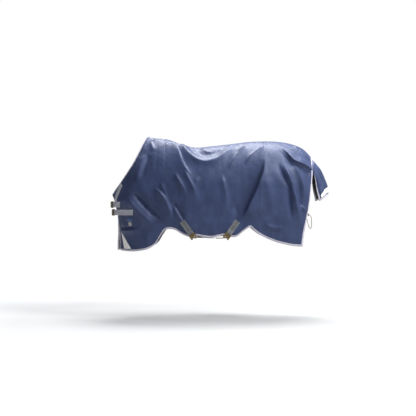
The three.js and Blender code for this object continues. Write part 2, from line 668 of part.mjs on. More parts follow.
const flapRow = (i) => (i / FLAP_ROWS) * (FLAP_END - FLAP_BAND.row - FLAP_GAP);
const flapQ = (j) => mix(-1, 1, j / FLAP_COLUMNS) * (1 - FLAP_BAND.q - FLAP_GAP);
const flapGrid = [];
for (let i = 0; i <= FLAP_ROWS; i++) {
  flapGrid.push(Array.from({ length: FLAP_COLUMNS + 1 }, (_, j) => flapNode(flapRow(i), flapQ(j))));
}
const FLAP_LINING_TOP = -OUTER_THICK - LAYER_GAP;
const FLAP_BASE = FLAP_LINING_TOP - LINING_THICK;
addMesh('tail_flap', slab(flapGrid, 0, -OUTER_THICK), NAVY);
addMesh('tail_flap_lining', slab(flapGrid, FLAP_LINING_TOP, FLAP_BASE), BLACK);

// Its braid goes down one side, along the bottom and up the other side.
const innerQ = 1 - FLAP_BAND.q;
const innerRow = FLAP_END - FLAP_BAND.row;
const braid = [];
for (let i = 0; i <= FLAP_ROWS; i++) {
  const outerRow = i === FLAP_ROWS ? FLAP_END : flapRow(i);
  braid.push([flapNode(outerRow, -1), flapNode(i === FLAP_ROWS ? innerRow : flapRow(i), -innerQ)]);
}
for (let j = 1; j < FLAP_COLUMNS; j++) {
  const q = flapQ(j);
  braid.push([flapNode(FLAP_END, q), flapNode(innerRow, q)]);
}
for (let i = FLAP_ROWS; i >= 0; i--) {
  const outerRow = i === FLAP_ROWS ? FLAP_END : flapRow(i);
  braid.push([flapNode(outerRow, 1), flapNode(i === FLAP_ROWS ? innerRow : flapRow(i), innerQ)]);
}
addMesh('tail_flap_binding', slab(braid, BINDING_PROUD, FLAP_BASE - BINDING_PROUD), BRAID);

const STRIP = { fromRow: 3.2, toRow: 3.6, reach: 0.7, columns: 8, lift: 3, thick: 0.8 };
const stripQ = (j) => mix(-STRIP.reach, STRIP.reach, j / STRIP.columns);
const strip = [STRIP.fromRow, STRIP.toRow].map((row) => (
  Array.from({ length: STRIP.columns + 1 }, (_, j) => flapNode(row, stripQ(j)))
));
addMesh('tail_flap_strip', slab(strip, STRIP.lift + STRIP.thick, STRIP.lift), SILVER);

// ---------- tail cord ----------
// It hangs behind the hind legs from a tab inside each rear corner. The route is the left half of it.
const CORD_RADIUS = 4;
const CORD_ROUTE = [
  [932, -197, -572], [941, -193, -576], [949, -185, -588], [954, -170, -611], [958, -142, -641],
  [961, -104, -666], [963, -54, -682], [964, 0, -688],
];
const route = CORD_ROUTE.map((p) => vec(...p));
const mirrored = route.slice(0, -1).reverse().map((p) => vec(p.x, -p.y, p.z));
const cordCurve = new THREE.CatmullRomCurve3([...route, ...mirrored], false, 'centripetal');
const cordSection = new THREE.Shape();
cordSection.absarc(0, 0, CORD_RADIUS, 0, 2 * Math.PI);
addMesh('tail_cord', new THREE.ExtrudeGeometry(cordSection, {
  steps: 30, curveSegments: 4, extrudePath: cordCurve, bevelEnabled: false,
}), CORD);

const CORD_TAB = { length: 40, half: 9, thick: 3, gap: 0.4 };
for (const { name, sign } of SIDES) {
  const [endX, endY, endZ] = CORD_ROUTE[0];
  const tip = vec(endX - CORD_TAB.gap, -sign * endY, endZ);
  const back = cordCurve.getTangent(0).multiply(vec(-1, sign, -1));
  const across = vec(0, 0, 1).addScaledVector(back, -back.z).normalize();
  const shape = rectangle(0, CORD_TAB.length, -CORD_TAB.half, CORD_TAB.half);
  addMesh(`${name}_cord_tab`, plate(shape, CORD_TAB.thick, tip, back, across), WEBBING);
}

export default rug;
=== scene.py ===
"""The looks of a turnout rug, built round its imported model.

The rug hangs as it does on a horse: two cloth sides joined along the back, a braid round every edge, a
tail flap, chest straps, crossed belly straps and a tail cord. Its skin is drawn in millimetres by the same
formulas as the model, with the drawn zero RISE above the shared origin, and each piece is turned into metres
when it is made.
"""

import math

import bmesh
import bpy
import numpy as np
from mathutils import Matrix, Vector, noise
from mathutils.bvhtree import BVHTree


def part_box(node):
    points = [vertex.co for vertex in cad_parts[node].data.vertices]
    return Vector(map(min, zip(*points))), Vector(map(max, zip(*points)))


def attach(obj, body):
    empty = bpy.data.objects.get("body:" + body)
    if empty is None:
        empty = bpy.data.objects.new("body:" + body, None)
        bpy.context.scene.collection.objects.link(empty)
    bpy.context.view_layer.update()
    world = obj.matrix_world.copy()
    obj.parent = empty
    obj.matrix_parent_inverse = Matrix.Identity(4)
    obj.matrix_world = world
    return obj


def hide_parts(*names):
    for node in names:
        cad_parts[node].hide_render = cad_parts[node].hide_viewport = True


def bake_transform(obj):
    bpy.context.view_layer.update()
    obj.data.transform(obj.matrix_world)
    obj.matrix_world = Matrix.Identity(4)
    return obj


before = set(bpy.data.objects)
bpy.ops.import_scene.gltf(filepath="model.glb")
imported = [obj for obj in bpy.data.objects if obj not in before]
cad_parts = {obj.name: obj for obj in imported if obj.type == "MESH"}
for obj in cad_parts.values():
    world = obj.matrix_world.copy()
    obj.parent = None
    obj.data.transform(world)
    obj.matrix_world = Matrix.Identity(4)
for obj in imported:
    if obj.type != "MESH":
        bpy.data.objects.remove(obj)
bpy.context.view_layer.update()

MM = 0.001
RISE = 10.0
LEFT, RIGHT = -1, 1
SIDE_NAMES = {LEFT: "left", RIGHT: "right"}
UP = np.array((0.0, 0.0, 1.0))


def full_turn(steps):
    """Angles round a circle, from 0 on."""
    return np.linspace(0, 2 * math.pi, steps + 1)[:-1]


def link_object(name, data):
    """A new object with this data, in the scene."""
    made = bpy.data.objects.new(name, data)
    bpy.context.scene.collection.objects.link(made)
    return made


def to_metres(places):
    """Drawn millimetres as metres in the shared frame."""
    return (np.asarray(places, float) + (0, 0, RISE)) * MM


# ---------- camera ----------
CAMERA_PLACE = (0.0935, -7.5, -0.503)
CAMERA_LENS = 76.3


def make_camera():
    data = bpy.data.cameras.new("camera")
    data.lens = CAMERA_LENS
    camera = link_object("camera", data)
    camera.location = CAMERA_PLACE
    camera.rotation_euler = (math.pi / 2, 0, 0)
    bpy.context.scene.camera = camera
    bpy.context.scene.view_settings.view_transform = "Standard"


make_camera()


# ---------- mesh helpers ----------
HALVINGS = 30


def unit(vectors):
    vectors = np.asarray(vectors, float)
    return vectors / np.maximum(np.linalg.norm(vectors, axis=-1, keepdims=True), 1e-9)


def mix(a, b, t):
    return a + (b - a) * t


def smooth(t):
    t = np.clip(t, 0, 1)
    return t * t * (3 - 2 * t)


def outward(vertices, faces):
    """Turns every face over if together they enclose a negative volume."""
    volume = 0.0
    for triangle in ((0, 1, 2), (0, 2, 3)):
        a, b, c = (vertices[faces[:, k]] for k in triangle)
        volume += np.einsum("ij,ij->", a, np.cross(b, c))
    return faces[:, ::-1] if volume < 0 else faces


def make_piece(name, vertices, faces, finish, body="rug", uv=None):
    """A closed mesh from vertices in drawn millimetres and four-cornered faces."""
    vertices = np.asarray(vertices, float)
    faces = outward(vertices, np.asarray(faces))
    mesh = bpy.data.meshes.new(name)
    loops = [tuple(dict.fromkeys(face)) for face in faces.tolist()]  # a doubled corner makes a triangle
    mesh.from_pydata(to_metres(vertices).tolist(), [], loops)
    if uv is not None:
        layer = mesh.uv_layers.new(name="UVMap")
        corners = np.empty(len(mesh.loops), int)
        mesh.loops.foreach_get("vertex_index", corners)
        layer.data.foreach_set("uv", (np.asarray(uv)[corners] * MM).ravel())
    mesh.polygons.foreach_set("use_smooth", np.ones(len(mesh.polygons), bool))
    mesh.materials.append(finish)
    piece = link_object(name, mesh)
    if body:
        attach(piece, body)
    return piece


def grid_faces(columns, rows):
    i, j = np.meshgrid(np.arange(columns - 1), np.arange(rows - 1), indexing="ij")
    a = i * rows + j
    return np.stack([a, a + rows, a + rows + 1, a + 1], -1).reshape(-1, 4)


def closed_faces(columns, rows):
    """Faces of a slab: a top grid, a base grid after it, and the rim between them."""
    count = columns * rows
    at = np.arange(count).reshape(columns, rows)
    ring = np.concatenate([at[:-1, 0], at[-1, :-1], at[:0:-1, -1], at[0, :0:-1]])
    ahead = np.roll(ring, -1)
    rim = np.stack([ahead, ring, ring + count, ahead + count], -1)
    grid = grid_faces(columns, rows)
    return np.concatenate([grid, grid[:, ::-1] + count, rim])


def slab(name, top, base, finish, uv, body="rug"):
    columns, rows = top.shape[:2]
    vertices = np.concatenate([top.reshape(-1, 3), base.reshape(-1, 3)])
    both = np.concatenate([uv.reshape(-1, 2)] * 2)
    return make_piece(name, vertices, closed_faces(columns, rows), finish, body, both)


def tube(name, rings, finish, uv=None, body="rug"):
    """A closed tube from rings of points (ring, point, xyz), with both ends filled by strips."""
    count, points = rings.shape[:2]
    at = np.arange(count * points).reshape(count, points)
    across = np.roll(at, -1, axis=1)
    walls = np.stack([at[:-1], at[1:], across[1:], across[:-1]], -1).reshape(-1, 4)
    half = points // 2
    k = np.arange(half - 1)
    cap = np.stack([k, k + 1, points - 2 - k, points - 1 - k], -1)
    faces = np.concatenate([walls, cap, (cap + at[-1, 0])[:, ::-1]])
    return make_piece(name, rings.reshape(-1, 3), faces, finish, body, uv)


def along(points, u):
    """A smooth curve through evenly numbered points of any dimension."""
    points = np.asarray(points, float)
    if points.ndim == 1:
        points = points[:, None]
    u = np.asarray(u, float)
    last = len(points) - 1
    i = np.clip(np.floor(u).astype(int), 0, last - 1)
    f = (u - i)[..., None]
    b, c = points[i], points[i + 1]
    a = np.where((i > 0)[..., None], points[np.maximum(i - 1, 0)], 2 * b - c)
    d = np.where((i + 2 <= last)[..., None], points[np.minimum(i + 2, last)], 2 * c - b)
    return b + 0.5 * f * (c - a + f * (2 * a - 5 * b + 4 * c - d + f * (3 * (b - c) + d - a)))


def curve_through(points, steps):
    """Even-numbered samples of the smooth curve through the points."""
    return along(points, np.linspace(0, len(points) - 1, steps))


def cubic(knots, values, slopes, marks):
    """The smooth curve through values at rising knots with the given slopes there, read at marks."""
    i = np.clip(np.searchsorted(knots, marks, side="right") - 1, 0, len(knots) - 2)
    span = (knots[i + 1] - knots[i])[..., None]
    t = (marks - knots[i])[..., None] / span
    bend = span * (slopes[i] * t * (1 - t) ** 2 - slopes[i + 1] * t * t * (1 - t))
    return mix(values[i], values[i + 1], smooth(t)) + bend


def lengths(points):
    """Distance along a line of points, from its first one."""
    return np.concatenate([[0], np.cumsum(np.linalg.norm(np.diff(points, axis=0), axis=1))])


def at_marks(marks, run, values):
    """Vectors given along a line, read at marks of its length."""
    return np.stack([np.interp(marks, run, values[:, k]) for k in range(3)], -1)


def relax(points, rounds):
    """Evens out a line of points in place, with its ends held."""
    for _ in range(rounds):
        points[1:-1] = (points[:-2] + 2 * points[1:-1] + points[2:]) / 4
    return points


def gaps_along(places, axis):
    """Distance of each grid node from the one before it along an axis, and 0 at the first."""
    return np.linalg.norm(np.diff(places, axis=axis, prepend=places.take([0], axis)), axis=2)


def lengths_down(places):
    """Distance of each node from the first row, down its column."""
    return np.cumsum(gaps_along(places, 1), axis=1)


def cloth_uv(places):
    down = lengths_down(places)
    run = np.cumsum(gaps_along(places, 0).mean(1))
    return np.stack([run[:, None] + 0 * down, down], -1)


def grid_uv(run, across):
    """UVs of a grid from its distances along its two directions."""
    return np.stack(np.meshgrid(run, across, indexing="ij"), -1).reshape(-1, 2)


def halve(low, high, is_low):
    """The values between low and high at which is_low turns false."""
    for _ in range(HALVINGS):
        middle = (low + high) / 2
        still_low = is_low(middle)
        low, high = np.where(still_low, middle, low), np.where(still_low, high, middle)
    return (low + high) / 2


# ---------- the skin: one side of the rug as a surface over (u, v) ----------
SPINE = [
    (-436, 98), (-412, 93), (-386, 88), (-360, 83), (-330, 78), (-235, 66), (-110, 18), (0, 0),
    (140, 13), (289, 30), (430, 47), (574, 53), (700, 48), (810, 27), (900, -12), (976, -85),
]
SIDE = [
    (-718, 3, -395), (-690, 85, -440), (-602, 190, -450), (-470, 240, -400), (-340, 262, -345),
    (-215, 285, -335), (-90, 303, -340), (30, 311, -350), (150, 311, -350), (285, 302, -340),
    (410, 294, -330), (535, 292, -325), (650, 288, -330), (760, 279, -350), (855, 260, -410),
    (925, 225, -540),
]
FOOT = [
    (-652, 25), (-622, 98), (-532, 180), (-425, 222), (-330, 228), (-205, 238), (-85, 252), (35, 258),
    (155, 258), (285, 252), (405, 248), (500, 246), (600, 245), (700, 244), (790, 246), (872, 252),
]
FOOT_Z = -880
FULLNESS = [1.3, 1.3, 1.3, 1.25, 1.2, 1.1, 1, 1, 1, 1, 1, 1.02, 1.08, 1.2, 1.4, 1.6]
LAST_STATION = 15
SHOULDER_STATION = 4
FRONT_SEAM = 4.7
HIP_SEAM = 10.9
NECK_HALF_WIDTH = 140
NECK_BOW = 28
NECK_ROUNDNESS = 0.85
CHEST_TUCK = 2.6
BODY_TUCK = 1.5
FAR_FLARE = -26
FLARE_END = 2
HALF_GAP = 0.25
HEM = [
    (-655, -870), (-550, -874), (-461, -866), (-401, -850), (-342, -812), (-300, -745), (-265, -698),
    (-216, -686), (-171, -697), (-110, -733), (-50, -749), (0, -742), (50, -750), (120, -757),
    (180, -746), (235, -736), (285, -752), (330, -747), (385, -705), (441, -671), (480, -703),
    (545, -748), (659, -794), (785, -824), (890, -832),
]


def hem_height(x):
    points = np.array(HEM, float)
    slopes = np.empty(len(points))
    slopes[1:-1] = (points[2:, 1] - points[:-2, 1]) / (points[2:, 0] - points[:-2, 0])
    slopes[0] = (points[1, 1] - points[0, 1]) / (points[1, 0] - points[0, 0])
    slopes[-1] = (points[-1, 1] - points[-2, 1]) / (points[-1, 0] - points[-2, 0])
    x = np.clip(x, points[0, 0], points[-1, 0])
    return cubic(points[:, 0], points[:, 1:], slopes[:, None], x)[..., 0]


def neck_edge(t):
    top, low = SPINE[0], SIDE[0]
    dx, dz = low[0] - top[0], low[2] - top[1]
    length = math.hypot(dx, dz)
    wave = np.sin(np.pi * np.clip(t, 0, 1)).clip(0)
    return np.stack([
        mix(top[0], low[0], t) - NECK_BOW * wave * dz / length,
        NECK_HALF_WIDTH * wave ** NECK_ROUNDNESS + low[1] * t,
        mix(top[1], low[2], t) + NECK_BOW * wave * dx / length,
    ], -1)


def rib(u, t):
    spine, widest = along(SPINE, u), along(SIDE, u)
    fullness = along(FULLNESS, u)[..., 0]
    cos, sin = np.cos(t * np.pi / 2), np.sin(t * np.pi / 2).clip(0)
    return np.stack([
        mix(spine[..., 0], widest[..., 0], (1 - cos).clip(0) ** BODY_TUCK),
        widest[..., 1] * sin ** fullness,
        mix(widest[..., 2], spine[..., 1], cos),
    ], -1)


def skin(u, v, side):
    u, v = np.broadcast_arrays(np.asarray(u, float), np.asarray(v, float))
    upper = np.clip(v, 0, 1)
    shoulder_u = np.full_like(u, SHOULDER_STATION)
    fade = (1 - (1 - np.minimum(u, SHOULDER_STATION) / SHOULDER_STATION) ** 2)[..., None]
    spine, widest, foot = along(SPINE, u), along(SIDE, u), along(FOOT, u)
    top = np.stack([spine[..., 0], 0 * u, spine[..., 1]], -1)
    edge = [mix(neck_edge(t), rib(shoulder_u, t), fade) for t in (upper, 0 * upper, 0 * upper + 1)]
    share = upper[..., None]
    stretched = edge[0] + (top - edge[1]) * (1 - share) + (widest - edge[2]) * share
    above = np.where((u < SHOULDER_STATION)[..., None], stretched, rib(u, upper))
    t = np.clip(v - 1, 0, 1)
    tuck = np.where(u < SHOULDER_STATION, CHEST_TUCK, BODY_TUCK)
    flare = (FAR_FLARE if side > 0 else 0) * np.maximum(0, 1 - u / FLARE_END) ** 2
    below = np.stack([
        mix(foot[..., 0] + flare * t, widest[..., 0], (1 - t) ** tuck),
        widest[..., 1] - (widest[..., 1] - foot[..., 1]) * t * t,
        mix(widest[..., 2], FOOT_Z, t),
    ], -1)
    places = np.where((v > 1)[..., None], below, above)
    places[..., 1] = side * (places[..., 1] + HALF_GAP)
    return places


STEP = 1e-3  # of u and v, for slopes


def skin_slopes(u, v, side):
    u = np.clip(u, STEP, LAST_STATION - STEP)
    v = np.maximum(v, 2 * STEP)
    du = (skin(u + STEP, v, side) - skin(u - STEP, v, side)) / (2 * STEP)
    dv = (skin(u, v + STEP, side) - skin(u, v - STEP, side)) / (2 * STEP)
    return du, dv, np.cross(du, dv)


def step_over(u, v, side, distance, other):
    """How far u (other 1) or v (other 0) moves to get a given distance in from an edge."""
    slopes = skin_slopes(u, v, side)
    return distance * np.linalg.norm(slopes[other], axis=-1) / np.linalg.norm(slopes[2], axis=-1)


def first_u(v, side, distance):
    """The u where the skin is a given distance in from the front edge, measured square to the edge."""
    edge = skin(0 * v, v, side)
    ahead = unit(skin(0 * v, v + STEP, side) - skin(0 * v, np.maximum(v - STEP, 0), side))

    def too_near(u):
        return np.linalg.norm(np.cross(skin(u, v, side) - edge, ahead), axis=-1) < distance

    return halve(np.zeros_like(v), np.full_like(v, SHOULDER_STATION), too_near)


def hem_v(u, side):
    """The v at which the skin reaches the hem."""
    def above_hem(v):
        places = skin(u, v, side)
        return places[..., 2] > hem_height(places[..., 0])

    return halve(np.ones_like(u), np.full_like(u, 2), above_hem)


# ---------- folds ----------
def fold(height, front, rear, path, roundness=1.7, lean=0.0, spread=1.0, fade=(0.25, 0.35)):
    """A crest, or with a negative height a valley, along a line of (x, z) points on the side of the rug.

    front and rear are its widths towards the chest and the tail. A roundness of 2 is round and 1 is sharp.
    lean is how far the crest hangs over towards the tail. spread is how much wider the fold's end is than its
    start, and fade says over which shares of its length it grows from nothing and dies away.
    """
    return {"height": height, "front": front, "rear": rear, "path": path, "roundness": roundness,
            "lean": lean, "spread": spread, "fade": fade}


FOLDS = [
    # The dip behind the withers: its rim, the hollow above it, and small creases in the hollow.
    fold(27, 34, 62, [(-132, 26), (-82, -51), (-7, -116), (79, -141), (177, -109), (288, -26), (338, 10)],
         1.35, fade=(0.1, 0.2)),
    fold(-17, 40, 46, [(-70, 10), (0, -50), (80, -72), (170, -50), (250, 8)], 1.8),
    fold(7, 9, 12, [(-60, 5), (-20, -30), (30, -92)], 1.3),
    fold(6, 10, 8, [(215, -10), (160, -55), (105, -100)], 1.3),
    fold(5, 8, 10, [(30, -10), (80, -40), (150, -45)], 1.3),
    # The crest down from the withers, with a crease behind it.
    fold(27, 34, 10,
         [(-236, 70), (-213, 52), (-168, -26), (-141, -91), (-103, -166), (-54, -229), (-20, -290)],
         1.3, 7, 1.4, (0.3, 0.45)),
    fold(-16, 9, 30, [(-200, 40), (-148, -36), (-121, -98), (-82, -176), (-30, -240)],
         1.3, 0, 1.3, (0.1, 0.45)),
    fold(9, 26, 12, [(-392, 50), (-372, 10), (-352, -50)], 1.4, 2, 1.2),
    # Pulls from the loins towards the belly.
    fold(19, 13, 17, [(400, 5), (336, -78), (286, -148), (255, -215)], 1.25, -5, 1.3, (0.12, 0.5)),
    fold(16, 13, 17, [(552, -5), (472, -64), (427, -109), (385, -165)], 1.25, -5, 1.3, (0.12, 0.5)),
    fold(-8, 20, 14, [(368, -20), (310, -100), (262, -170)], 1.4, 0, 1.3),
    # The fold that hangs from the hip seam and stands proud of the barrel.
    fold(46, 13, 120, [(566, -40), (560, -110), (551, -216), (500, -362), (439, -483), (372, -610)],
         1.35, -9, 1.1, (0.55, 0.25)),
    fold(-27, 105, 9, [(540, -110), (531, -220), (480, -364), (419, -486), (356, -606)],
         1.5, 0, 1.1, (0.4, 0.3)),
    # The pleat over the croup, which hangs over its own crease and ends in an open lip at the rear edge.
    fold(27, 9, 58, [(680, 20), (690, 13), (742, -51), (793, -116), (834, -135), (894, -159), (949, -202)],
         1.3, -11, 1.0, (0.6, 0.02)),
    fold(-16, 24, 8, [(672, -10), (724, -74), (776, -138), (824, -160), (885, -184), (938, -228)],
         1.4, 0, 1.0, (0.6, 0.02)),
    fold(9, 12, 12, [(810, 15), (850, -30), (905, -75), (950, -115)], 1.3, 0, 1.0, (0.2, 0.05)),
    fold(7, 8, 9, [(752, -15), (800, -48), (852, -84)], 1.3),
    fold(6, 9, 7, [(800, 12), (845, -12), (892, -62)], 1.3),
    fold(6, 8, 8, [(838, -98), (872, -120), (915, -148)], 1.3),
    fold(6, 9, 9, [(250, -8), (312, 8), (385, 22)], 1.3),
    # Soft folds down the quarter.
    fold(-26, 22, 14, [(664, -140), (718, -251), (763, -342), (773, -497), (782, -644)], 1.4, 0, 1.2),
    fold(22, 26, 24, [(705, -130), (752, -250), (792, -388), (828, -534), (865, -690)], 1.4, 3, 1.3),
    fold(16, 24, 14, [(790, -110), (838, -220), (868, -340), (880, -450)], 1.35, 4, 1.2),
    fold(-12, 16, 16, [(835, -260), (850, -380), (862, -500), (885, -600)], 1.4),
    fold(12, 22, 14, [(842, -492), (880, -520), (905, -560)], 1.3),
    fold(14, 26, 24, [(545, -640), (610, -668), (690, -680), (740, -655)], 1.4),
    fold(12, 36, 44, [(575, -250), (600, -420), (640, -560), (690, -640)], 1.7, 0, 1.3),
    # The shoulder: long pulls from the neck towards the fore leg.
    fold(26, 38, 24, [(-590, -400), (-492, -515), (-405, -605), (-300, -672)], 1.35, 0, 1.3),
    fold(-30, 12, 24, [(-542, -372), (-445, -480), (-357, -567), (-272, -628)], 1.35),
    fold(22, 26, 16, [(-358, -337), (-272, -422), (-222, -529), (-205, -610)], 1.35, 3, 1.3),
    fold(-14, 12, 26, [(-335, -330), (-250, -412), (-200, -520), (-180, -600)], 1.4),
    fold(14, 22, 16, [(-298, -300), (-260, -380), (-222, -470)], 1.4, 0, 1.2),
    fold(16, 14, 20, [(-640, -704), (-560, -700), (-450, -692)], 1.3, 0, 1.0, (0.1, 0.4)),
    fold(-17, 11, 8, [(-640, -684), (-560, -682), (-470, -677)], 1.4, 0, 1.0, (0.1, 0.4)),
    fold(14, 40, 22, [(-420, -60), (-470, -190), (-500, -310)], 1.5, 0, 1.2),
    fold(-10, 18, 30, [(-390, -60), (-438, -190), (-468, -310)], 1.5, 0, 1.2),
    # The seam beside the neck edge.
    fold(-5, 5, 5, [(-462, -20), (-484, -92), (-545, -215), (-600, -325)], 1.6, 0, 1.0, (0.1, 0.1)),
    # The barrel: faint upright folds, and pulls at the belly tabs.
    fold(14, 30, 14, [(205, -230), (225, -314), (247, -434), (235, -560)], 1.5, 0, 1.4),
    fold(10, 34, 24, [(20, -240), (-10, -360), (10, -480)], 1.6, 0, 1.4),
    fold(15, 22, 14, [(-186, -217), (-112, -340), (-70, -430)], 1.4, 0, 1.3),
    fold(13, 20, 14, [(-104, -205), (-30, -338), (0, -420)], 1.4, 0, 1.3),
    fold(13, 22, 15, [(-190, -490), (-150, -560), (-110, -640)], 1.45),
    fold(-19, 10, 18, [(-205, -455), (-150, -540), (-96, -630)], 1.3),
    fold(-12, 26, 26, [(300, -470), (330, -560), (300, -660)], 1.5),
]

WRINKLES = [
    # height, length along the body and down the side, and how much of it is left at the back and at the hem
    (9.0, 130, 330, 0.15, 1.0),
    (3.2, 52, 110, 0.6, 1.0),
    (1.0, 26, 34, 0.7, 0.9),
]
WRINKLE_SEEDS = {LEFT: 3, RIGHT: 40}
WRINKLE_SHIFT = 7.3  # how far apart in the noise two seeds are
WRINKLE_DEPTH = 750  # this far below the back, wrinkles are as they are at the hem


FOLD_STEPS = 56


def nearest(places, x, z):
    """The index of the grid node that is nearest to a point in the side view."""
    return np.argmin((places[:, 0] - x) ** 2 + (places[:, 2] - z) ** 2)


def lay_line(path, places, normals):
    """A smooth line over the grid through (x, z) points, with the grid's normals along it."""
    marks = [nearest(places, x, z) for x, z in path]
    line = curve_through(places[marks], FOLD_STEPS)
    for _ in range(2):
        snapped = [nearest(places, p[0], p[2]) for p in line]
        line, up = relax(places[snapped], 6), relax(normals[snapped], 6)
    return line, unit(up)


def add_fold(moves, places, normals, side, spec):
    line, up = lay_line(spec["path"], places, normals)
    ahead = unit(np.gradient(line, axis=0))
    rearward = -side * unit(np.cross(up, ahead))
    if rearward[:, 0].mean() < 0:
        rearward = -rearward
    run = lengths(line)
    reach = 3 * max(spec["front"], spec["rear"]) * max(spec["spread"], 1)
    low, high = line.min(0) - reach, line.max(0) + reach
    near = np.flatnonzero(((places > low) & (places < high)).all(1))
    gaps = places[near][:, None, :] - line[None]
    k = np.argmin((gaps ** 2).sum(-1), 1)
    gap = gaps[np.arange(len(near)), k]
    onward = np.einsum("ij,ij->i", gap, ahead[k])
    across = np.einsum("ij,ij->i", gap, rearward[k])
    at_end = ((k == 0) & (onward < 0)) | ((k == len(line) - 1) & (onward > 0))
    distance = np.where(at_end, np.linalg.norm(gap, axis=1), np.abs(across))
    t = np.clip((run[k] + onward) / run[-1], 0, 1)
    width = np.where(across < 0, spec["front"], spec["rear"]) * mix(1, spec["spread"], t)
    fade_in, fade_out = spec["fade"]
    taper = smooth(t / fade_in) * smooth((1 - t) / fade_out)
    bump = np.exp(-((distance / width) ** spec["roundness"])) * taper
    moves[near] += normals[near] * (spec["height"] * bump)[:, None]
    moves[near] += rearward[k] * (spec["lean"] * bump ** 2)[:, None]


def add_wrinkles(moves, places, normals, depth, seed):
    """Smooth random waves, long down the side and short along the body. depth is 0 at the back."""
    for number, (height, length_x, length_z, at_back, at_hem) in enumerate(WRINKLES):
        shift = WRINKLE_SHIFT * (seed + number)
        spots = places / (length_x, length_z, length_z) + (shift, 0, -shift)
        values = np.array([noise.noise(Vector(spot)) for spot in spots])
        moves += normals * (height * values * mix(at_back, at_hem, depth))[:, None]


# ---------- one side of cloth ----------
EDGE_INSET = 8.0  # the cloth ends this far inside the rug's outline, half way under the braid
PANEL_STEPS = {"front": 116, "barrel": 150, "quarter": 100}
UPPER_STEPS = 100
LOWER_STEPS = 84
SEAM_STEPS = (1.6, 4.0)  # extra columns beside a seam, in fifths of a column
SEAM_DEPTHS = (0.6, 1.7)  # of the front and the hip seam
SEAM_HALF = 3.2
BACK_FADE = 130.0  # folds grow from almost nothing at the back seam to their full height this far down
BACK_SHARE = 0.08
BACK_DIP, BACK_DIP_HALF = 1.8, 4  # of the seam along the back
OUTER_DEPTH = 5.0
LINING_TOP = 6.4
LINING_BASE = 7.8
LINING_REACH = 2  # the lining keeps below the lowest cloth this many nodes round
RAY_FROM = 600  # outside the rug, for rays towards it
BODY_Y = 250  # about half the rug's width, for the nearest cloth where a ray misses it


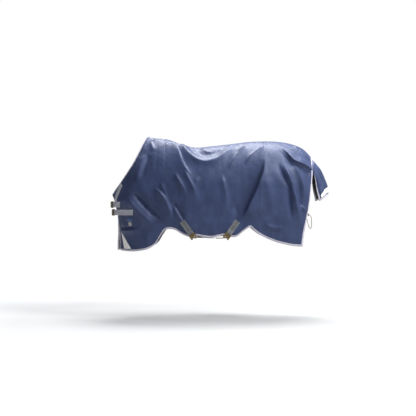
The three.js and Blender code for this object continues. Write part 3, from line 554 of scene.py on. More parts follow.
class Cloth:
    """One side of the rug: grid nodes by column (chest to tail) and row (back to hem)."""

    def __init__(self, side):
        self.side = side
        self.make_grid()
        self.fold_up()
        top = self.top.reshape(-1, 3)
        self.tree = BVHTree.FromPolygons(top.tolist(), grid_faces(*self.u.shape).tolist())

    def make_grid(self):
        side = self.side
        table_v = np.linspace(0, 2, 201)
        first = first_u(table_v, side, EDGE_INSET)
        last = LAST_STATION - step_over(0 * table_v + LAST_STATION, table_v, side, EDGE_INSET, 1)
        table_u = np.linspace(0, LAST_STATION, 601)
        hem = hem_v(table_u, side)
        hem = hem - step_over(table_u, hem, side, EDGE_INSET, 0)
        starts = {"front": first, "barrel": 0 * first + FRONT_SEAM, "quarter": 0 * first + HIP_SEAM}
        ends = {"front": 0 * last + FRONT_SEAM, "barrel": 0 * last + HIP_SEAM, "quarter": last}
        upper = np.linspace(0, 1, UPPER_STEPS + 1)
        lower = np.linspace(0, 1, LOWER_STEPS + 1)[1:]
        self.columns, u_parts, v_parts, count = {}, [], [], 0
        for panel, steps in PANEL_STEPS.items():
            extra = [s / (5.0 * steps) for s in SEAM_STEPS]
            f = np.unique(np.concatenate([np.linspace(0, 1, steps + 1), extra, [1 - e for e in extra]]))
            u = mix(float(starts[panel][0]), float(ends[panel][0]), f)[:, None]
            u = u * np.ones(len(upper) + len(lower))
            for _ in range(5):
                reach = np.interp(u[:, len(upper):], table_u, hem)
                v = np.concatenate([np.tile(upper, (len(f), 1)), mix(1, reach, lower)], 1)
                begin, end = (np.interp(v, table_v, edge[panel]) for edge in (starts, ends))
                u = mix(begin, end, f[:, None])
            skip = 1 if count else 0
            u_parts.append(u[skip:])
            v_parts.append(v[skip:])
            self.columns[panel] = slice(max(count - 1, 0), count + len(f) - skip)
            count += len(f) - skip
        self.u, self.v = np.concatenate(u_parts), np.concatenate(v_parts)
        self.base = skin(self.u, self.v, side)
        normals = skin_slopes(self.u, self.v, side)[2] * side
        normals[:, 0, 1] = 0
        self.normals = unit(normals)

    def seam_groove(self):
        """How deep the groove of the two panel seams is at each node."""
        run = np.cumsum(gaps_along(self.base, 0), axis=0)
        gaps = [run - run[self.columns[panel].start] for panel in ("barrel", "quarter")]
        return sum(depth * np.exp(-((gap / SEAM_HALF) ** 2)) for gap, depth in zip(gaps, SEAM_DEPTHS))

    def fold_up(self):
        shape = self.base.shape
        places, normals = self.base.reshape(-1, 3), self.normals.reshape(-1, 3)
        moves = np.zeros_like(places)
        for number, spec in enumerate(FOLDS):
            add_fold(moves, places, normals, self.side, spec if self.side == LEFT else vary(spec, number))
        depth = np.clip(-places[:, 2] / WRINKLE_DEPTH, 0, 1)
        add_wrinkles(moves, places, normals, depth, WRINKLE_SEEDS[self.side])
        moves = moves.reshape(shape)
        down = lengths_down(self.base)
        moves *= smooth(down / BACK_FADE + BACK_SHARE)[..., None]
        moves -= self.normals * self.seam_groove()[..., None]
        moves -= self.normals * (BACK_DIP * np.exp(-((down / BACK_DIP_HALF) ** 2)))[..., None]
        self.top = self.base + moves
        heights = np.einsum("ijk,ijk->ij", moves, self.normals)
        self.inside = self.base + self.normals * lowest_near(heights)[..., None]
        self.uv = cloth_uv(self.base)

    def flat_size(self, columns):
        """Width and length of the cloth between two columns before it folds, and its area, in metres."""
        base = self.base[columns] * MM
        width = np.linalg.norm(np.diff(base, axis=0), axis=2).sum(0).max()
        length = np.linalg.norm(np.diff(base, axis=1), axis=2).sum(1).max()
        diagonals = base[1:, 1:] - base[:-1, :-1], base[:-1, 1:] - base[1:, :-1]
        area = 0.5 * np.linalg.norm(np.cross(*diagonals), axis=2).sum()
        return (round(float(width), 3), round(float(length), 3)), round(float(area), 4)

    def cast(self, x, z):
        """Where a ray from outside meets the cloth at (x, z) in the side view, and the normal there."""
        return self.tree.ray_cast(Vector((x, RAY_FROM * self.side, z)), Vector((0, -self.side, 0)))[:2]

    def on(self, x, z):
        """The outermost cloth point at (x, z) in the side view, and its normal."""
        hit, normal = self.cast(x, z)
        if hit is None:
            hit, normal = self.tree.find_nearest(Vector((x, BODY_Y * self.side, z)))[:2]
        normal = np.array(normal)
        return np.array(hit), normal if normal[1] * self.side >= 0 else -normal


def lowest_near(heights):
    """The lowest height round each grid node, so that a layer at it stays inside every steep fold."""
    padded = np.pad(heights, LINING_REACH, mode="edge")
    columns, rows = heights.shape
    shifts = range(2 * LINING_REACH + 1)
    return np.min([padded[i:i + columns, j:j + rows] for i in shifts for j in shifts], axis=0)


FAR_SHIFT = 26


def vary(spec, number):
    """The same fold as it falls on the far side: a little moved, and higher or lower."""
    shift = FAR_SHIFT * math.sin(2.1 * number)
    last = len(spec["path"]) - 1
    path = [(x + shift * math.sin(math.pi * i / last), z) for i, (x, z) in enumerate(spec["path"])]
    return {**spec, "path": path, "height": spec["height"] * (0.85 + 0.25 * math.sin(1.3 * number + 1))}


# ---------- finishes ----------
class Finish:
    """A material whose nodes are added and joined by name."""

    def __init__(self, name, colour, roughness, **sockets):
        self.material = bpy.data.materials.new(name)
        self.material.use_nodes = True
        self.tree = self.material.node_tree
        self.shader = self.tree.nodes["Principled BSDF"]
        self.shader.inputs["Base Color"].default_value = (*colour, 1)
        self.shader.inputs["Roughness"].default_value = roughness
        for socket, value in sockets.items():
            self.shader.inputs[socket.replace("_", " ")].default_value = value
        self.coordinates = self.tree.nodes.new("ShaderNodeTexCoord").outputs
        self.height = None

    def feed(self, socket, value):
        """Joins another node's output to a socket, or sets the socket to a value."""
        if isinstance(value, bpy.types.NodeSocket):
            self.tree.links.new(value, socket)
        else:
            socket.default_value = value

    def node(self, kind, settings=(), **inputs):
        made = self.tree.nodes.new(f"ShaderNode{kind}")
        for key, value in dict(settings).items():
            setattr(made, key, value)
        for key, value in inputs.items():
            self.feed(made.inputs[key.replace("_", " ")], value)
        return made

    def noise(self, scale, detail=4, stretch=(1, 1, 1)):
        stretched = self.node("Mapping", Vector=self.coordinates["Object"], Scale=stretch).outputs["Vector"]
        return self.node("TexNoise", Vector=stretched, Scale=scale, Detail=detail).outputs["Fac"]

    def math(self, operation, a, b):
        made = self.node("Math", {"operation": operation})
        for socket, value in zip(made.inputs, (a, b)):
            self.feed(socket, value)
        return made.outputs[0]

    def ramp(self, value, stops):
        made = self.node("ValToRGB", Fac=value)
        elements = made.color_ramp.elements
        while len(elements) < len(stops):
            elements.new(0.5)
        for element, (place, colour) in zip(elements, stops):
            element.position = place
            element.color = (*colour, 1)
        return made.outputs["Color"]

    def colour_by(self, value, stops):
        self.tree.links.new(self.ramp(value, stops), self.shader.inputs["Base Color"])

    def roughness_by(self, value, low, high):
        made = self.node("MapRange", Value=value, To_Min=low, To_Max=high)
        self.tree.links.new(made.outputs[0], self.shader.inputs["Roughness"])

    def raise_by(self, value, distance, strength=1.0):
        """Adds a bump of the given height in metres on top of the ones before."""
        made = self.node("Bump", Height=value, Distance=distance, Strength=strength)
        if self.height is not None:
            self.tree.links.new(self.height, made.inputs["Normal"])
        self.height = made.outputs["Normal"]
        self.tree.links.new(self.height, self.shader.inputs["Normal"])

    def threads(self, across, down, depth):
        """A woven pattern: two sets of threads, at the given spacings in metres, one over the other."""
        waves = [
            self.node("TexWave", {"bands_direction": axis}, Vector=self.coordinates["UV"],
                      Scale=math.pi / (10 * pitch)).outputs["Fac"]
            for axis, pitch in (("X", across), ("Y", down))
        ]
        self.raise_by(self.math("MULTIPLY", *waves), depth)


def shades(colour, spread):
    """Darker and lighter stops round a colour."""
    return [(0.3, tuple(c * (1 - spread) for c in colour)), (0.7, tuple(c * (1 + spread) for c in colour))]


NAVY = (0.031, 0.044, 0.103)


def ripstop_finish():
    """Coated navy cloth: a grid of thicker threads, crinkles and a satin sheen."""
    finish = Finish("ripstop", NAVY, 0.45, Specular_IOR_Level=0.30, Specular_Tint=(0.8, 0.87, 1, 1))
    finish.colour_by(finish.noise(9, 5), shades(NAVY, 0.16))
    finish.roughness_by(finish.noise(30, 3), 0.38, 0.50)
    crinkles = finish.noise(26, 6, stretch=(1, 1, 0.55))
    finish.raise_by(crinkles, 0.004, 0.35)
    grid = finish.node("TexBrick", {"offset": 0.0, "squash": 1.0}, Vector=finish.coordinates["UV"], Scale=1.0,
                       Mortar_Size=0.00035, Mortar_Smooth=0.6, Brick_Width=0.0055, Row_Height=0.0055)
    finish.raise_by(grid.outputs["Fac"], 0.00025, 0.6)
    return finish.material


def lining_finish():
    finish = Finish("lining", (0.010, 0.010, 0.013), 0.45, Sheen_Weight=0.2, Sheen_Roughness=0.5)
    finish.roughness_by(finish.noise(40, 3), 0.38, 0.55)
    finish.raise_by(finish.noise(30, 5), 0.003, 0.3)
    finish.threads(0.0011, 0.0011, 0.0001)
    return finish.material


def webbing_finish(name, colour, stripe):
    """Grey webbing: a coarse weave, with a paler dashed pattern down its middle."""
    finish = Finish(name, colour, 0.68, Sheen_Weight=0.3, Sheen_Roughness=0.5)
    separate = finish.node("SeparateXYZ", Vector=finish.coordinates["UV"])
    run, across = separate.outputs["X"], separate.outputs["Y"]
    band = finish.math("LESS_THAN", finish.math("ABSOLUTE", across, 0), 0.0135)
    dash = finish.math("LESS_THAN", finish.math("PINGPONG", finish.math("ADD", run, across), 0.009), 0.0042)
    mark = finish.math("MULTIPLY", band, dash)
    blend = finish.math("MULTIPLY_ADD", finish.noise(90, 4), 0.25)
    shade = finish.math("ADD", finish.math("MULTIPLY", mark, 0.55), blend)
    finish.colour_by(shade, [(0.05, tuple(c * 0.8 for c in colour)), (0.9, stripe)])
    finish.threads(0.0022, 0.0018, 0.0005)
    return finish.material


def brass_finish():
    """Cast brass gone dull, brighter where it rubs."""
    colour = (0.30, 0.215, 0.10)
    finish = Finish("hardware", colour, 0.34, Metallic=0.95)
    finish.colour_by(finish.noise(120, 5), [(0.3, (0.12, 0.09, 0.05)), (0.65, colour)])
    finish.roughness_by(finish.noise(240, 4), 0.24, 0.46)
    finish.raise_by(finish.noise(420, 3), 0.0003, 0.5)
    return finish.material


def plain_finish(name, colour, roughness=0.7, patches=(200, 3), spread=0.15, weave=None, **sockets):
    """One colour in slightly lighter and darker patches, with a weave if its threads are given."""
    finish = Finish(name, colour, roughness, **sockets)
    finish.colour_by(finish.noise(*patches), shades(colour, spread))
    if weave:
        finish.threads(*weave)
    return finish.material


FINE_WEAVE = (0.0010, 0.0010, 0.0003)
RIPSTOP = ripstop_finish()
LINING = lining_finish()
BRAID = plain_finish("braid", (0.41, 0.39, 0.45), 0.62, (60, 4), 0.14, (0.0016, 0.0030, 0.0004),
                     Sheen_Weight=0.4, Sheen_Roughness=0.5)
WEBBING = webbing_finish("webbing", (0.30, 0.30, 0.29), (0.06, 0.065, 0.075))
CHEST_WEBBING = webbing_finish("chest_webbing", (0.66, 0.62, 0.58), (0.24, 0.25, 0.31))
REFLECTIVE = plain_finish("reflective", (0.74, 0.715, 0.68), 0.42, (70, 3), 0.07, (0.0024, 0.0024, 0.00015),
                          Metallic=0.1, Sheen_Weight=0.3)
BRASS = brass_finish()
TAG_BLUE = plain_finish("tag", (0.020, 0.085, 0.24), weave=FINE_WEAVE, Sheen_Weight=0.3)
BADGE_GREY = plain_finish("badge", (0.30, 0.285, 0.29), weave=FINE_WEAVE, Sheen_Weight=0.3)
THREAD = plain_finish("thread", (0.20, 0.20, 0.26), 0.6, (300, 2), Sheen_Weight=0.3)
NAVY_THREAD = plain_finish("navy_thread", (0.030, 0.040, 0.085), 0.6, (300, 2), Sheen_Weight=0.3)
CORD = plain_finish("cord", (0.46, 0.44, 0.41), weave=FINE_WEAVE, Sheen_Weight=0.3)


# ---------- braid and stitches ----------
# The braid's section, over the top, round the cloth's edge and back: how far out, and how high.
BRAID_TOP = [(-8.0, 0.4), (-7.6, 1.3), (-4.5, 1.9), (0.0, 1.9), (4.5, 1.2), (7.2, -0.4)]
BRAID_BACK = [(out, -7.0 - 0.9 * high) for out, high in BRAID_TOP[::-1]]
BRAID_SECTION = BRAID_TOP + [(8.2, -2.4), (8.2, -4.6)] + BRAID_BACK
BRAID_STITCHES = (5.6, 1.9)  # how far inside the cloth's edge, and how high
CORNER_STEPS = 7
STITCH = {"pitch": 5.0, "webbing_pitch": 4.2, "length": 3.4, "half_width": 0.55, "height": 0.45}


def edge_frames(places, normals):
    """Points, outward directions and normals down the first column, along the last row and up the end."""
    first = unit(places[0] - places[3])
    last = unit(places[-1] - places[-4])
    hem = unit(places[:, -1] - places[:, -4])
    turn = np.linspace(0, 1, CORNER_STEPS)[1:-1, None] * math.pi / 2
    corners = [
        (places[0, -1], np.cos(turn) * first[-1] + np.sin(turn) * hem[0], normals[0, -1]),
        (places[-1, -1], np.cos(turn) * hem[-1] + np.sin(turn) * last[-1], normals[-1, -1]),
    ]
    points, outs, ups = [places[0]], [first], [normals[0]]
    stretches = [(places[:, -1], hem, normals[:, -1]), (places[-1, ::-1], last[::-1], normals[-1, ::-1])]
    for (corner, out, up), (stretch, stretch_out, stretch_up) in zip(corners, stretches):
        points += [np.tile(corner, (len(out), 1)), stretch]
        outs += [unit(out), stretch_out]
        ups += [np.tile(up, (len(out), 1)), stretch_up]
    return tuple(np.concatenate(parts) for parts in (points, outs, ups))


def bind_edge(name, places, normals, scale=(1, 1), body="rug"):
    """Braid folded over the edge of a grid of cloth."""
    points, outs, ups = edge_frames(places, normals)
    section = np.array(BRAID_SECTION) * scale
    rings = points[:, None] + outs[:, None] * section[:, 0, None] + ups[:, None] * section[:, 1, None]
    piece = tube(name, rings, BRAID, grid_uv(lengths(points + 6 * outs), lengths(section)), body)
    return piece


def add_stitches(name, line, ups, pitch=STITCH["pitch"], finish=None):
    """A row of small raised stitches along a line of points."""
    run = lengths(line)
    marks = np.arange(pitch, run[-1] - pitch, pitch)
    centre = at_marks(marks, run, line)
    up = unit(at_marks(marks, run, ups))
    ahead = unit(at_marks(marks, run, np.gradient(line, axis=0)))
    aside = unit(np.cross(ahead, up))
    half, wide, high = STITCH["length"] / 2, STITCH["half_width"], STITCH["height"]
    corners = [(-half, 0, 0), (0, -wide, 0), (0, 0, -high), (0, wide, 0), (0, 0, high), (half, 0, 0)]
    places = np.stack([centre + a * ahead + b * aside + c * up for a, b, c in corners], 1)
    one = np.array([(0, 1, 2, 2), (0, 2, 3, 3), (0, 3, 4, 4), (0, 4, 1, 1),
                    (5, 2, 1, 1), (5, 3, 2, 2), (5, 4, 3, 3), (5, 1, 4, 4)])
    faces = (one[None] + 6 * np.arange(len(marks))[:, None, None]).reshape(-1, 4)
    piece = make_piece(name, places.reshape(-1, 3), faces, finish or THREAD)


def stitch_rows(name, surface, ups, rows):
    """Stitches along some of the columns of a strap's surface, numbered from 1."""
    for number, column in enumerate(rows, 1):
        add_stitches(f"{name}_stitches_{number}", surface[:, column], ups, STITCH["webbing_pitch"])


# ---------- the two sides ----------
SEAM_STITCH_LIFT = 0.3


def make_side(side):
    cloth = Cloth(side)
    name = SIDE_NAMES[side]
    for panel, columns in cloth.columns.items():
        top, up = cloth.top[columns], cloth.normals[columns]
        piece = slab(f"{name}_{panel}_cloth", top, top - OUTER_DEPTH * up, RIPSTOP, cloth.uv[columns])
        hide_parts(f"{name}_{panel}_panel")
        flat, area = cloth.flat_size(columns)
    thin = slice(None, None, 2)
    top, up = cloth.inside[thin, thin], cloth.normals[thin, thin]
    if len(cloth.top) % 2 == 0:
        top = np.concatenate([top, cloth.inside[-1:, thin]])
        up = np.concatenate([up, cloth.normals[-1:, thin]])
    piece = slab(f"{name}_inner_lining", top - LINING_TOP * up, top - LINING_BASE * up, LINING, cloth_uv(top))
    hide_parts(f"{name}_lining", f"{name}_fill")
    flat, area = cloth.flat_size(slice(None))
    piece = bind_edge(f"{name}_braid", cloth.top, cloth.normals)
    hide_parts(f"{name}_neck_binding", f"{name}_hem_binding", f"{name}_rear_binding")
    points, outs, ups = edge_frames(cloth.top, cloth.normals)
    inset, high = BRAID_STITCHES
    add_stitches(f"{name}_braid_stitches", points - inset * outs + high * ups, ups)
    for seam, panel in (("front_seam", "barrel"), ("hip_seam", "quarter")):
        for offset, column in ((1, 3), (2, 5)):
            at = cloth.columns[panel].start + column
            line = cloth.top[at] + SEAM_STITCH_LIFT * cloth.normals[at]
            add_stitches(f"{name}_{seam}_stitches_{offset}", line, cloth.normals[at], finish=NAVY_THREAD)
    return cloth


cloths = {side: make_side(side) for side in (LEFT, RIGHT)}


# ---------- webbing ----------
WEBBING_THICK = 2.0
STRAP_ACROSS = np.array([-1, -0.97, -0.86, -0.6, -0.3, 0, 0.3, 0.6, 0.86, 0.97, 1])
STRAP_EDGE = np.array([0.25, 0.7, 1, 1, 0.96, 0.94, 0.96, 1, 1, 0.7, 0.25])  # its thickness at these places
EDGE_COLUMNS = (2, -3)  # where stitches run on it
EYE_RADIUS = 4.6
EYE_NARROWING = [(-20, 1.25), (-12, 2.1), (-6, 3.9)]
EYE_END = (-30, -1.2)


def add_strap(name, surface, line, width, ups, finish, body="rug", thick=WEBBING_THICK):
    """Webbing round a surface that lies along a line of points. ups says where its top faces at each one."""
    half = STRAP_EDGE[:, None] * thick / 2
    rings = np.concatenate([surface + ups[:, None] * half, (surface - ups[:, None] * half)[:, ::-1]], 1)
    aside = STRAP_ACROSS * width / 2
    uv = grid_uv(lengths(line), np.concatenate([aside, aside[::-1]]))
    piece = tube(name, rings, finish, uv, body)
    return piece


def eye_line(bar, ahead, up):
    """The middle of webbing that runs ahead to a bar, round it and back underneath."""
    angles = np.linspace(math.pi / 2, -math.pi / 2, 9)
    places = EYE_NARROWING + [(EYE_RADIUS * math.cos(a), EYE_RADIUS * math.sin(a)) for a in angles]
    places += [(s, -h) for s, h in EYE_NARROWING[::-1]] + [EYE_END]
    return np.array([bar + ahead * s + up * h for s, h in places])


def strap_surface(line, across, width):
    return line[:, None] + across[:, None] * (STRAP_ACROSS[:, None] * width / 2)


def clear_cloth(surface, side, lift):
    """Moves the points out to lie over the cloth wherever it would cover them."""
    for point in surface.reshape(-1, 3):
        hit = cloths[side].cast(point[0], point[2])[0]
        if hit is not None and (hit.y - point[1]) * side + lift > 0:
            point[1] = hit.y + side * lift


def smooth_line(points, step):
    """Points at even steps along a smooth curve through the given ones."""
    fine = curve_through(points, 16 * len(points))
    run = lengths(fine)
    marks = np.linspace(0, run[-1], max(int(run[-1] / step), 6))
    return relax(at_marks(marks, run, fine), 2)


def frames(line, across):
    """Across and up directions along a line, from a rough across direction at each of its points."""
    ahead = unit(np.gradient(line, axis=0))
    across = unit(across - ahead * np.einsum("ij,ij->i", across, ahead)[:, None])
    return across, unit(np.cross(across, ahead))


SEWN_STEPS = 26


def add_sewn(name, side, path, width, finish, lift, thick=WEBBING_THICK):
    """Webbing or cloth sewn to a side along a path of (x, z) points, with stitches down each edge."""
    cloth = cloths[side]
    spots = [cloth.on(x, z) for x, z in curve_through(path, SEWN_STEPS)]
    line, ups = np.array([place for place, _ in spots]), unit(relax(unit([normal for _, normal in spots]), 4))
    across, _ = frames(line, np.cross(np.gradient(line, axis=0), ups))
    surface = strap_surface(line, across, width)
    surface = np.array([[cloth.on(x, z)[0] for x, _, z in row] for row in surface]) + ups[:, None] * lift
    piece = add_strap(name, surface, line, width, ups, finish, thick=thick)
    stitch_rows(name, surface + (ups * (thick / 2 - 0.05))[:, None], ups, EDGE_COLUMNS)
    return piece


# ---------- belly straps and their locks ----------
STRAP_WIDTH = 47.0
BELLY_WIDTH = 45.0
METAL_THICK = 3.0
METAL_BEVEL = 0.7
CORNER_RADIUS = 1.2
HARD_ANGLE = math.radians(38)
BELLY_LOCK = {
    "plateLength": 44, "plateHalf": 27, "slotHalf": 11, "slotDepth": 6, "tip": 7, "chamfer": 4, "rim": 3,
    "neckHalf": 3, "headHalf": 18, "headGap": 1.7, "headThick": 4.5, "neckLength": 12, "ringDepth": 18,
}
CHEST_LOCK = {
    "plateLength": 34, "plateHalf": 27, "slotHalf": 7, "slotDepth": 5, "tip": 6, "chamfer": 4, "rim": 3,
    "neckHalf": 4, "headHalf": 13, "headGap": 1.5, "headThick": 3.5, "neckLength": 9, "ringDepth": 16,
}
RING_BAR = 5.0
BELLY_Z = -757.0
TAB_LIFT = 1.6  # the middle of sewn webbing over the cloth
BELLY_STRAPS = (
    {"name": "front", "left_x": -22.0, "right_x": 240.0, "sag": 1.0, "right_tab": "rear"},
    {"name": "rear", "left_x": 240.0, "right_x": -22.0, "sag": 11.0, "right_tab": "front"},
)
TAB_TOP_Z = -622.0
TAB_LOW_Z = {LEFT: -694, RIGHT: -716}
EYE_CLEAR = 18  # a strap's own line stops this far from its bar, where its eye begins
TAB_LEAN = 0.58
TAB_DROP = math.sqrt(1 - TAB_LEAN ** 2)
BELLY_Y = -(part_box("front_slot_plate")[0][1] / MM + METAL_THICK / 2)


def plate_outline(lock):
    """A slotted plate, open at its tip, and the slot for the webbing."""
    tip, long, half = lock["tip"], lock["plateLength"], lock["plateHalf"]
    slot, depth, cut, rim = lock["slotHalf"], lock["slotDepth"], lock["chamfer"], lock["rim"]
    outer = [(-long + cut, -half), (tip - cut, -half), (tip, -half + cut), (tip, -slot), (-depth, -slot),
             (-depth, slot), (tip, slot), (tip, half - cut), (tip - cut, half), (-long + cut, half),
             (-long, half - cut), (-long, -half + cut)]
    start = rim - long
    return [outer, rectangle(start, start + RING_BAR, rim - half, half - rim)]


def hook_outline(lock):
    """A T-shaped head on a neck and a ring."""
    neck, head, ring = lock["neckHalf"], lock["headHalf"], lock["plateHalf"] + 2
    head_start = METAL_THICK / 2 + lock["headGap"]
    head_end = head_start + lock["headThick"]
    shoulder, end, rim = -lock["neckLength"], -lock["neckLength"] - lock["ringDepth"], lock["rim"]
    outer = [(end, -ring + rim), (end + rim, -ring), (shoulder - rim, -ring), (shoulder, -ring + rim),
             (shoulder, -neck), (head_start, -neck), (head_start, -head), (head_end, -head), (head_end, head),
             (head_start, head), (head_start, neck), (shoulder, neck), (shoulder, ring - rim),
             (shoulder - rim, ring), (end + rim, ring), (end, ring - rim)]
    return [outer, rectangle(end + RING_BAR, shoulder - rim, rim - ring, ring - rim)]


def rectangle(x0, x1, y0, y1):
    return [(x0, y0), (x1, y0), (x1, y1), (x0, y1)]


def rounded(corners):
    """The same outline with a small arc at each corner."""
    corners = np.array(corners, float)
    points = []
    for before, corner, after in zip(np.roll(corners, 1, 0), corners, np.roll(corners, -1, 0)):
        to_before, to_after = before - corner, after - corner
        reach = min(CORNER_RADIUS, 0.4 * np.linalg.norm(to_before), 0.4 * np.linalg.norm(to_after))
        start, end = corner + unit(to_before) * reach, corner + unit(to_after) * reach
        for t in np.linspace(0, 1, 4):
            points.append((1 - t) ** 2 * start + 2 * t * (1 - t) * corner + t * t * end)
    return points


def add_metal(name, outline, origin, x_dir, y_dir, body, replaces, thick=METAL_THICK, bevel=METAL_BEVEL):
    """A plate with rounded edges, cut to an outline of two loops: its outside and its hole."""
    curve = bpy.data.curves.new(name, "CURVE")
    curve.dimensions = "2D"
    curve.fill_mode = "BOTH"
    curve.extrude = (thick / 2 - bevel) * MM
    curve.bevel_depth = bevel * MM
    curve.bevel_resolution = 2
    curve.offset = -bevel * MM
    for loop in outline:
        points = rounded(loop)
        spline = curve.splines.new("POLY")
        spline.points.add(len(points) - 1)
        for spot, (x, y) in zip(spline.points, points):
            spot.co = (x * MM, y * MM, 0, 1)
        spline.use_cyclic_u = True
    shape = link_object(f"{name}_outline", curve)
    bpy.context.view_layer.update()
    mesh = bpy.data.meshes.new_from_object(shape.evaluated_get(bpy.context.evaluated_depsgraph_get()))
    bpy.data.objects.remove(shape)
    x_dir, y_dir = unit(x_dir), unit(y_dir)
    turned = np.eye(4)
    turned[:3, :3] = np.stack([x_dir, y_dir, np.cross(x_dir, y_dir)], 1)
    turned[:3, 3] = to_metres(origin)
    mesh.transform(Matrix(turned))
    weld(mesh)
    mesh.materials.clear()
    mesh.materials.append(BRASS)
    piece = link_object(name, mesh)
    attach(piece, body)
    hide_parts(replaces)


def weld(mesh):
    """Joins the doubled points of a mesh, and marks its hard edges."""
    tool = bmesh.new()
    tool.from_mesh(mesh)
    bmesh.ops.remove_doubles(tool, verts=tool.verts, dist=0.00002)
    for face in tool.faces:
        face.smooth = True
    for edge in tool.edges:
        edge.smooth = not (len(edge.link_faces) == 2 and edge.calc_face_angle(0) > HARD_ANGLE)
    tool.to_mesh(mesh)
    tool.free()


def tab_x(x, z, leans_back):
    lean = (TAB_LEAN if leans_back else -TAB_LEAN) / TAB_DROP
    return x - lean * (z - BELLY_Z)


def hang_tab(side, x, leans_back):
    """Points on the cloth down a belly tab, a little proud of it."""
    spots = [cloths[side].on(tab_x(x, z, leans_back), z) for z in np.linspace(TAB_TOP_Z, TAB_LOW_Z[side], 6)]
    return np.array([place + normal * TAB_LIFT for place, normal in spots])


def add_belly_tab(name, left_x):
    """The left tab: sewn to the cloth, then round the ring of the slotted plate and back."""
    leans_back = name == "front"
    down = np.array((TAB_LEAN if leans_back else -TAB_LEAN, 0, -TAB_DROP))
    up = np.array((0.0, -1.0, 0.0))
    cross = np.array((left_x, -BELLY_Y, BELLY_Z))
    bar = cross + down * (BELLY_LOCK["rim"] / 2 - BELLY_LOCK["plateLength"])
    sewn = smooth_line(hang_tab(LEFT, left_x, leans_back), 5)
    line = np.concatenate([sewn, eye_line(bar, down, up)])
    across, ups = frames(line, np.tile(np.cross(down, up), (len(line), 1)))
    ups = turn_out(ups, up)
    surface = strap_surface(line, across, STRAP_WIDTH)
    clear_cloth(surface[:len(sewn)], LEFT, TAB_LIFT)
    piece = add_strap(f"left_{name}_tab_strap", surface, line, STRAP_WIDTH, ups, WEBBING)
    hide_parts(f"left_{name}_tab", f"{name}_plate_loop")
    tab_stitches(f"left_{name}_tab", surface[:len(sewn)], ups[:len(sewn)])
    add_metal(f"{name}_slotted_plate", plate_outline(BELLY_LOCK), cross, down, np.cross(up, down), "rug",
              f"{name}_slot_plate")


def turn_out(ups, up):
    """The same directions, all turned so that the first one faces out."""
    return ups if ups[0] @ up > 0 else -ups


def tab_stitches(name, surface, ups):
    """Stitches down both edges of a sewn tab and across its end."""
    top = surface + (ups * (WEBBING_THICK / 2))[:, None]
    stitch_rows(name, top, ups, EDGE_COLUMNS)
    end = top[1, 2:-2]
    add_stitches(f"{name}_stitches_3", end, np.tile(ups[1], (len(end), 1)), STITCH["webbing_pitch"])


def bar_x(lock):
    """Where the bar of a hook's ring is along the hook."""
    return -lock["neckLength"] - lock["ringDepth"] + RING_BAR / 2


def sag_at(sag, share):
    """The height of a hanging strap at a share of its length."""
    return -4 * sag * share * (1 - share)


def add_belly_strap(name, left_x, right_x, sag, right_tab):
    """A strap that is sewn to the right side, bends at the hem and crosses under the belly to its hook."""
    leans_back = right_tab == "front"
    bar = np.array((left_x, -BELLY_Y - bar_x(BELLY_LOCK), BELLY_Z))
    long = BELLY_Y - bar[1]
    slant = (right_x - left_x) / long
    run = np.linspace(EYE_CLEAR, long, 40)
    under = np.stack([left_x + slant * run, bar[1] + run, BELLY_Z + sag_at(sag, run / long)], -1)
    tab = hang_tab(RIGHT, right_x, leans_back)
    bend = np.array([under[-1] + (0, 1.5, 12), under[-1] + (0, -2.0, 3)])
    bend[:, 0] = [tab_x(right_x, bend[0, 2], leans_back), right_x]
    upper = smooth_line(np.concatenate([tab, bend, under[::-1][1:4]]), 5)
    eye = eye_line(bar, np.array((0.0, -1.0, 0.0)), np.array((0.0, 0.0, -1.0)))
    line = np.concatenate([upper, under[::-1][5:], eye])
    across, ups = frames(line, np.tile((1.0, 0, 0), (len(line), 1)))
    surface = strap_surface(line, across, BELLY_WIDTH)
    sewn = slice(0, len(upper) - 12)
    clear_cloth(surface[sewn], RIGHT, TAB_LIFT)
    piece = add_strap(f"{name}_crossing_strap", surface, line, BELLY_WIDTH, ups, WEBBING, None)
    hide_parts(f"{name}_belly_strap", f"right_{right_tab}_tab")
    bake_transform(piece)
    tab_stitches(f"right_{right_tab}_tab", surface[sewn], turn_out(ups[sewn], (0.0, 1.0, 0.0)))
    hook_at = (left_x, -BELLY_Y, BELLY_Z)
    add_metal(f"{name}_t_hook", hook_outline(BELLY_LOCK), hook_at, (0, -1, 0), (1, 0, 0), f"{name}_hook",
              f"{name}_hook")
    add_adjuster(name, left_x, slant, bar, long, sag)


ADJUSTER = {"from": 110.0, "length": 16.0, "clear": 1.0, "wall": 4.0, "rim": 2.0, "strap": 2.5, "bevel": 0.8}


def add_adjuster(name, left_x, slant, bar, long, sag):
    """A flat ring round the strap, with rounded edges."""
    away = ADJUSTER["from"]
    fall = 4 * sag / long * (1 - 2 * away / long)
    ahead = unit((slant, 1, -fall))
    aside = unit((1, -slant, 0))
    half_wide = BELLY_WIDTH / 2 / math.hypot(1, slant) + ADJUSTER["clear"]
    half_thick = ADJUSTER["strap"] / 2 + ADJUSTER["clear"]
    wall, rim = ADJUSTER["wall"], ADJUSTER["rim"]
    outline = [rectangle(-half_wide - wall, half_wide + wall, -half_thick - rim, half_thick + rim),
               rectangle(-half_wide, half_wide, -half_thick, half_thick)]
    centre = (left_x + slant * away, bar[1] + away, BELLY_Z + sag_at(sag, away / long))
    add_metal(f"{name}_adjuster_ring", outline, centre, aside, np.cross(ahead, aside), f"{name}_adjuster",
              f"{name}_adjuster", thick=ADJUSTER["length"], bevel=ADJUSTER["bevel"])


for strap in BELLY_STRAPS:
    add_belly_tab(strap["name"], strap["left_x"])
    add_belly_strap(**strap)


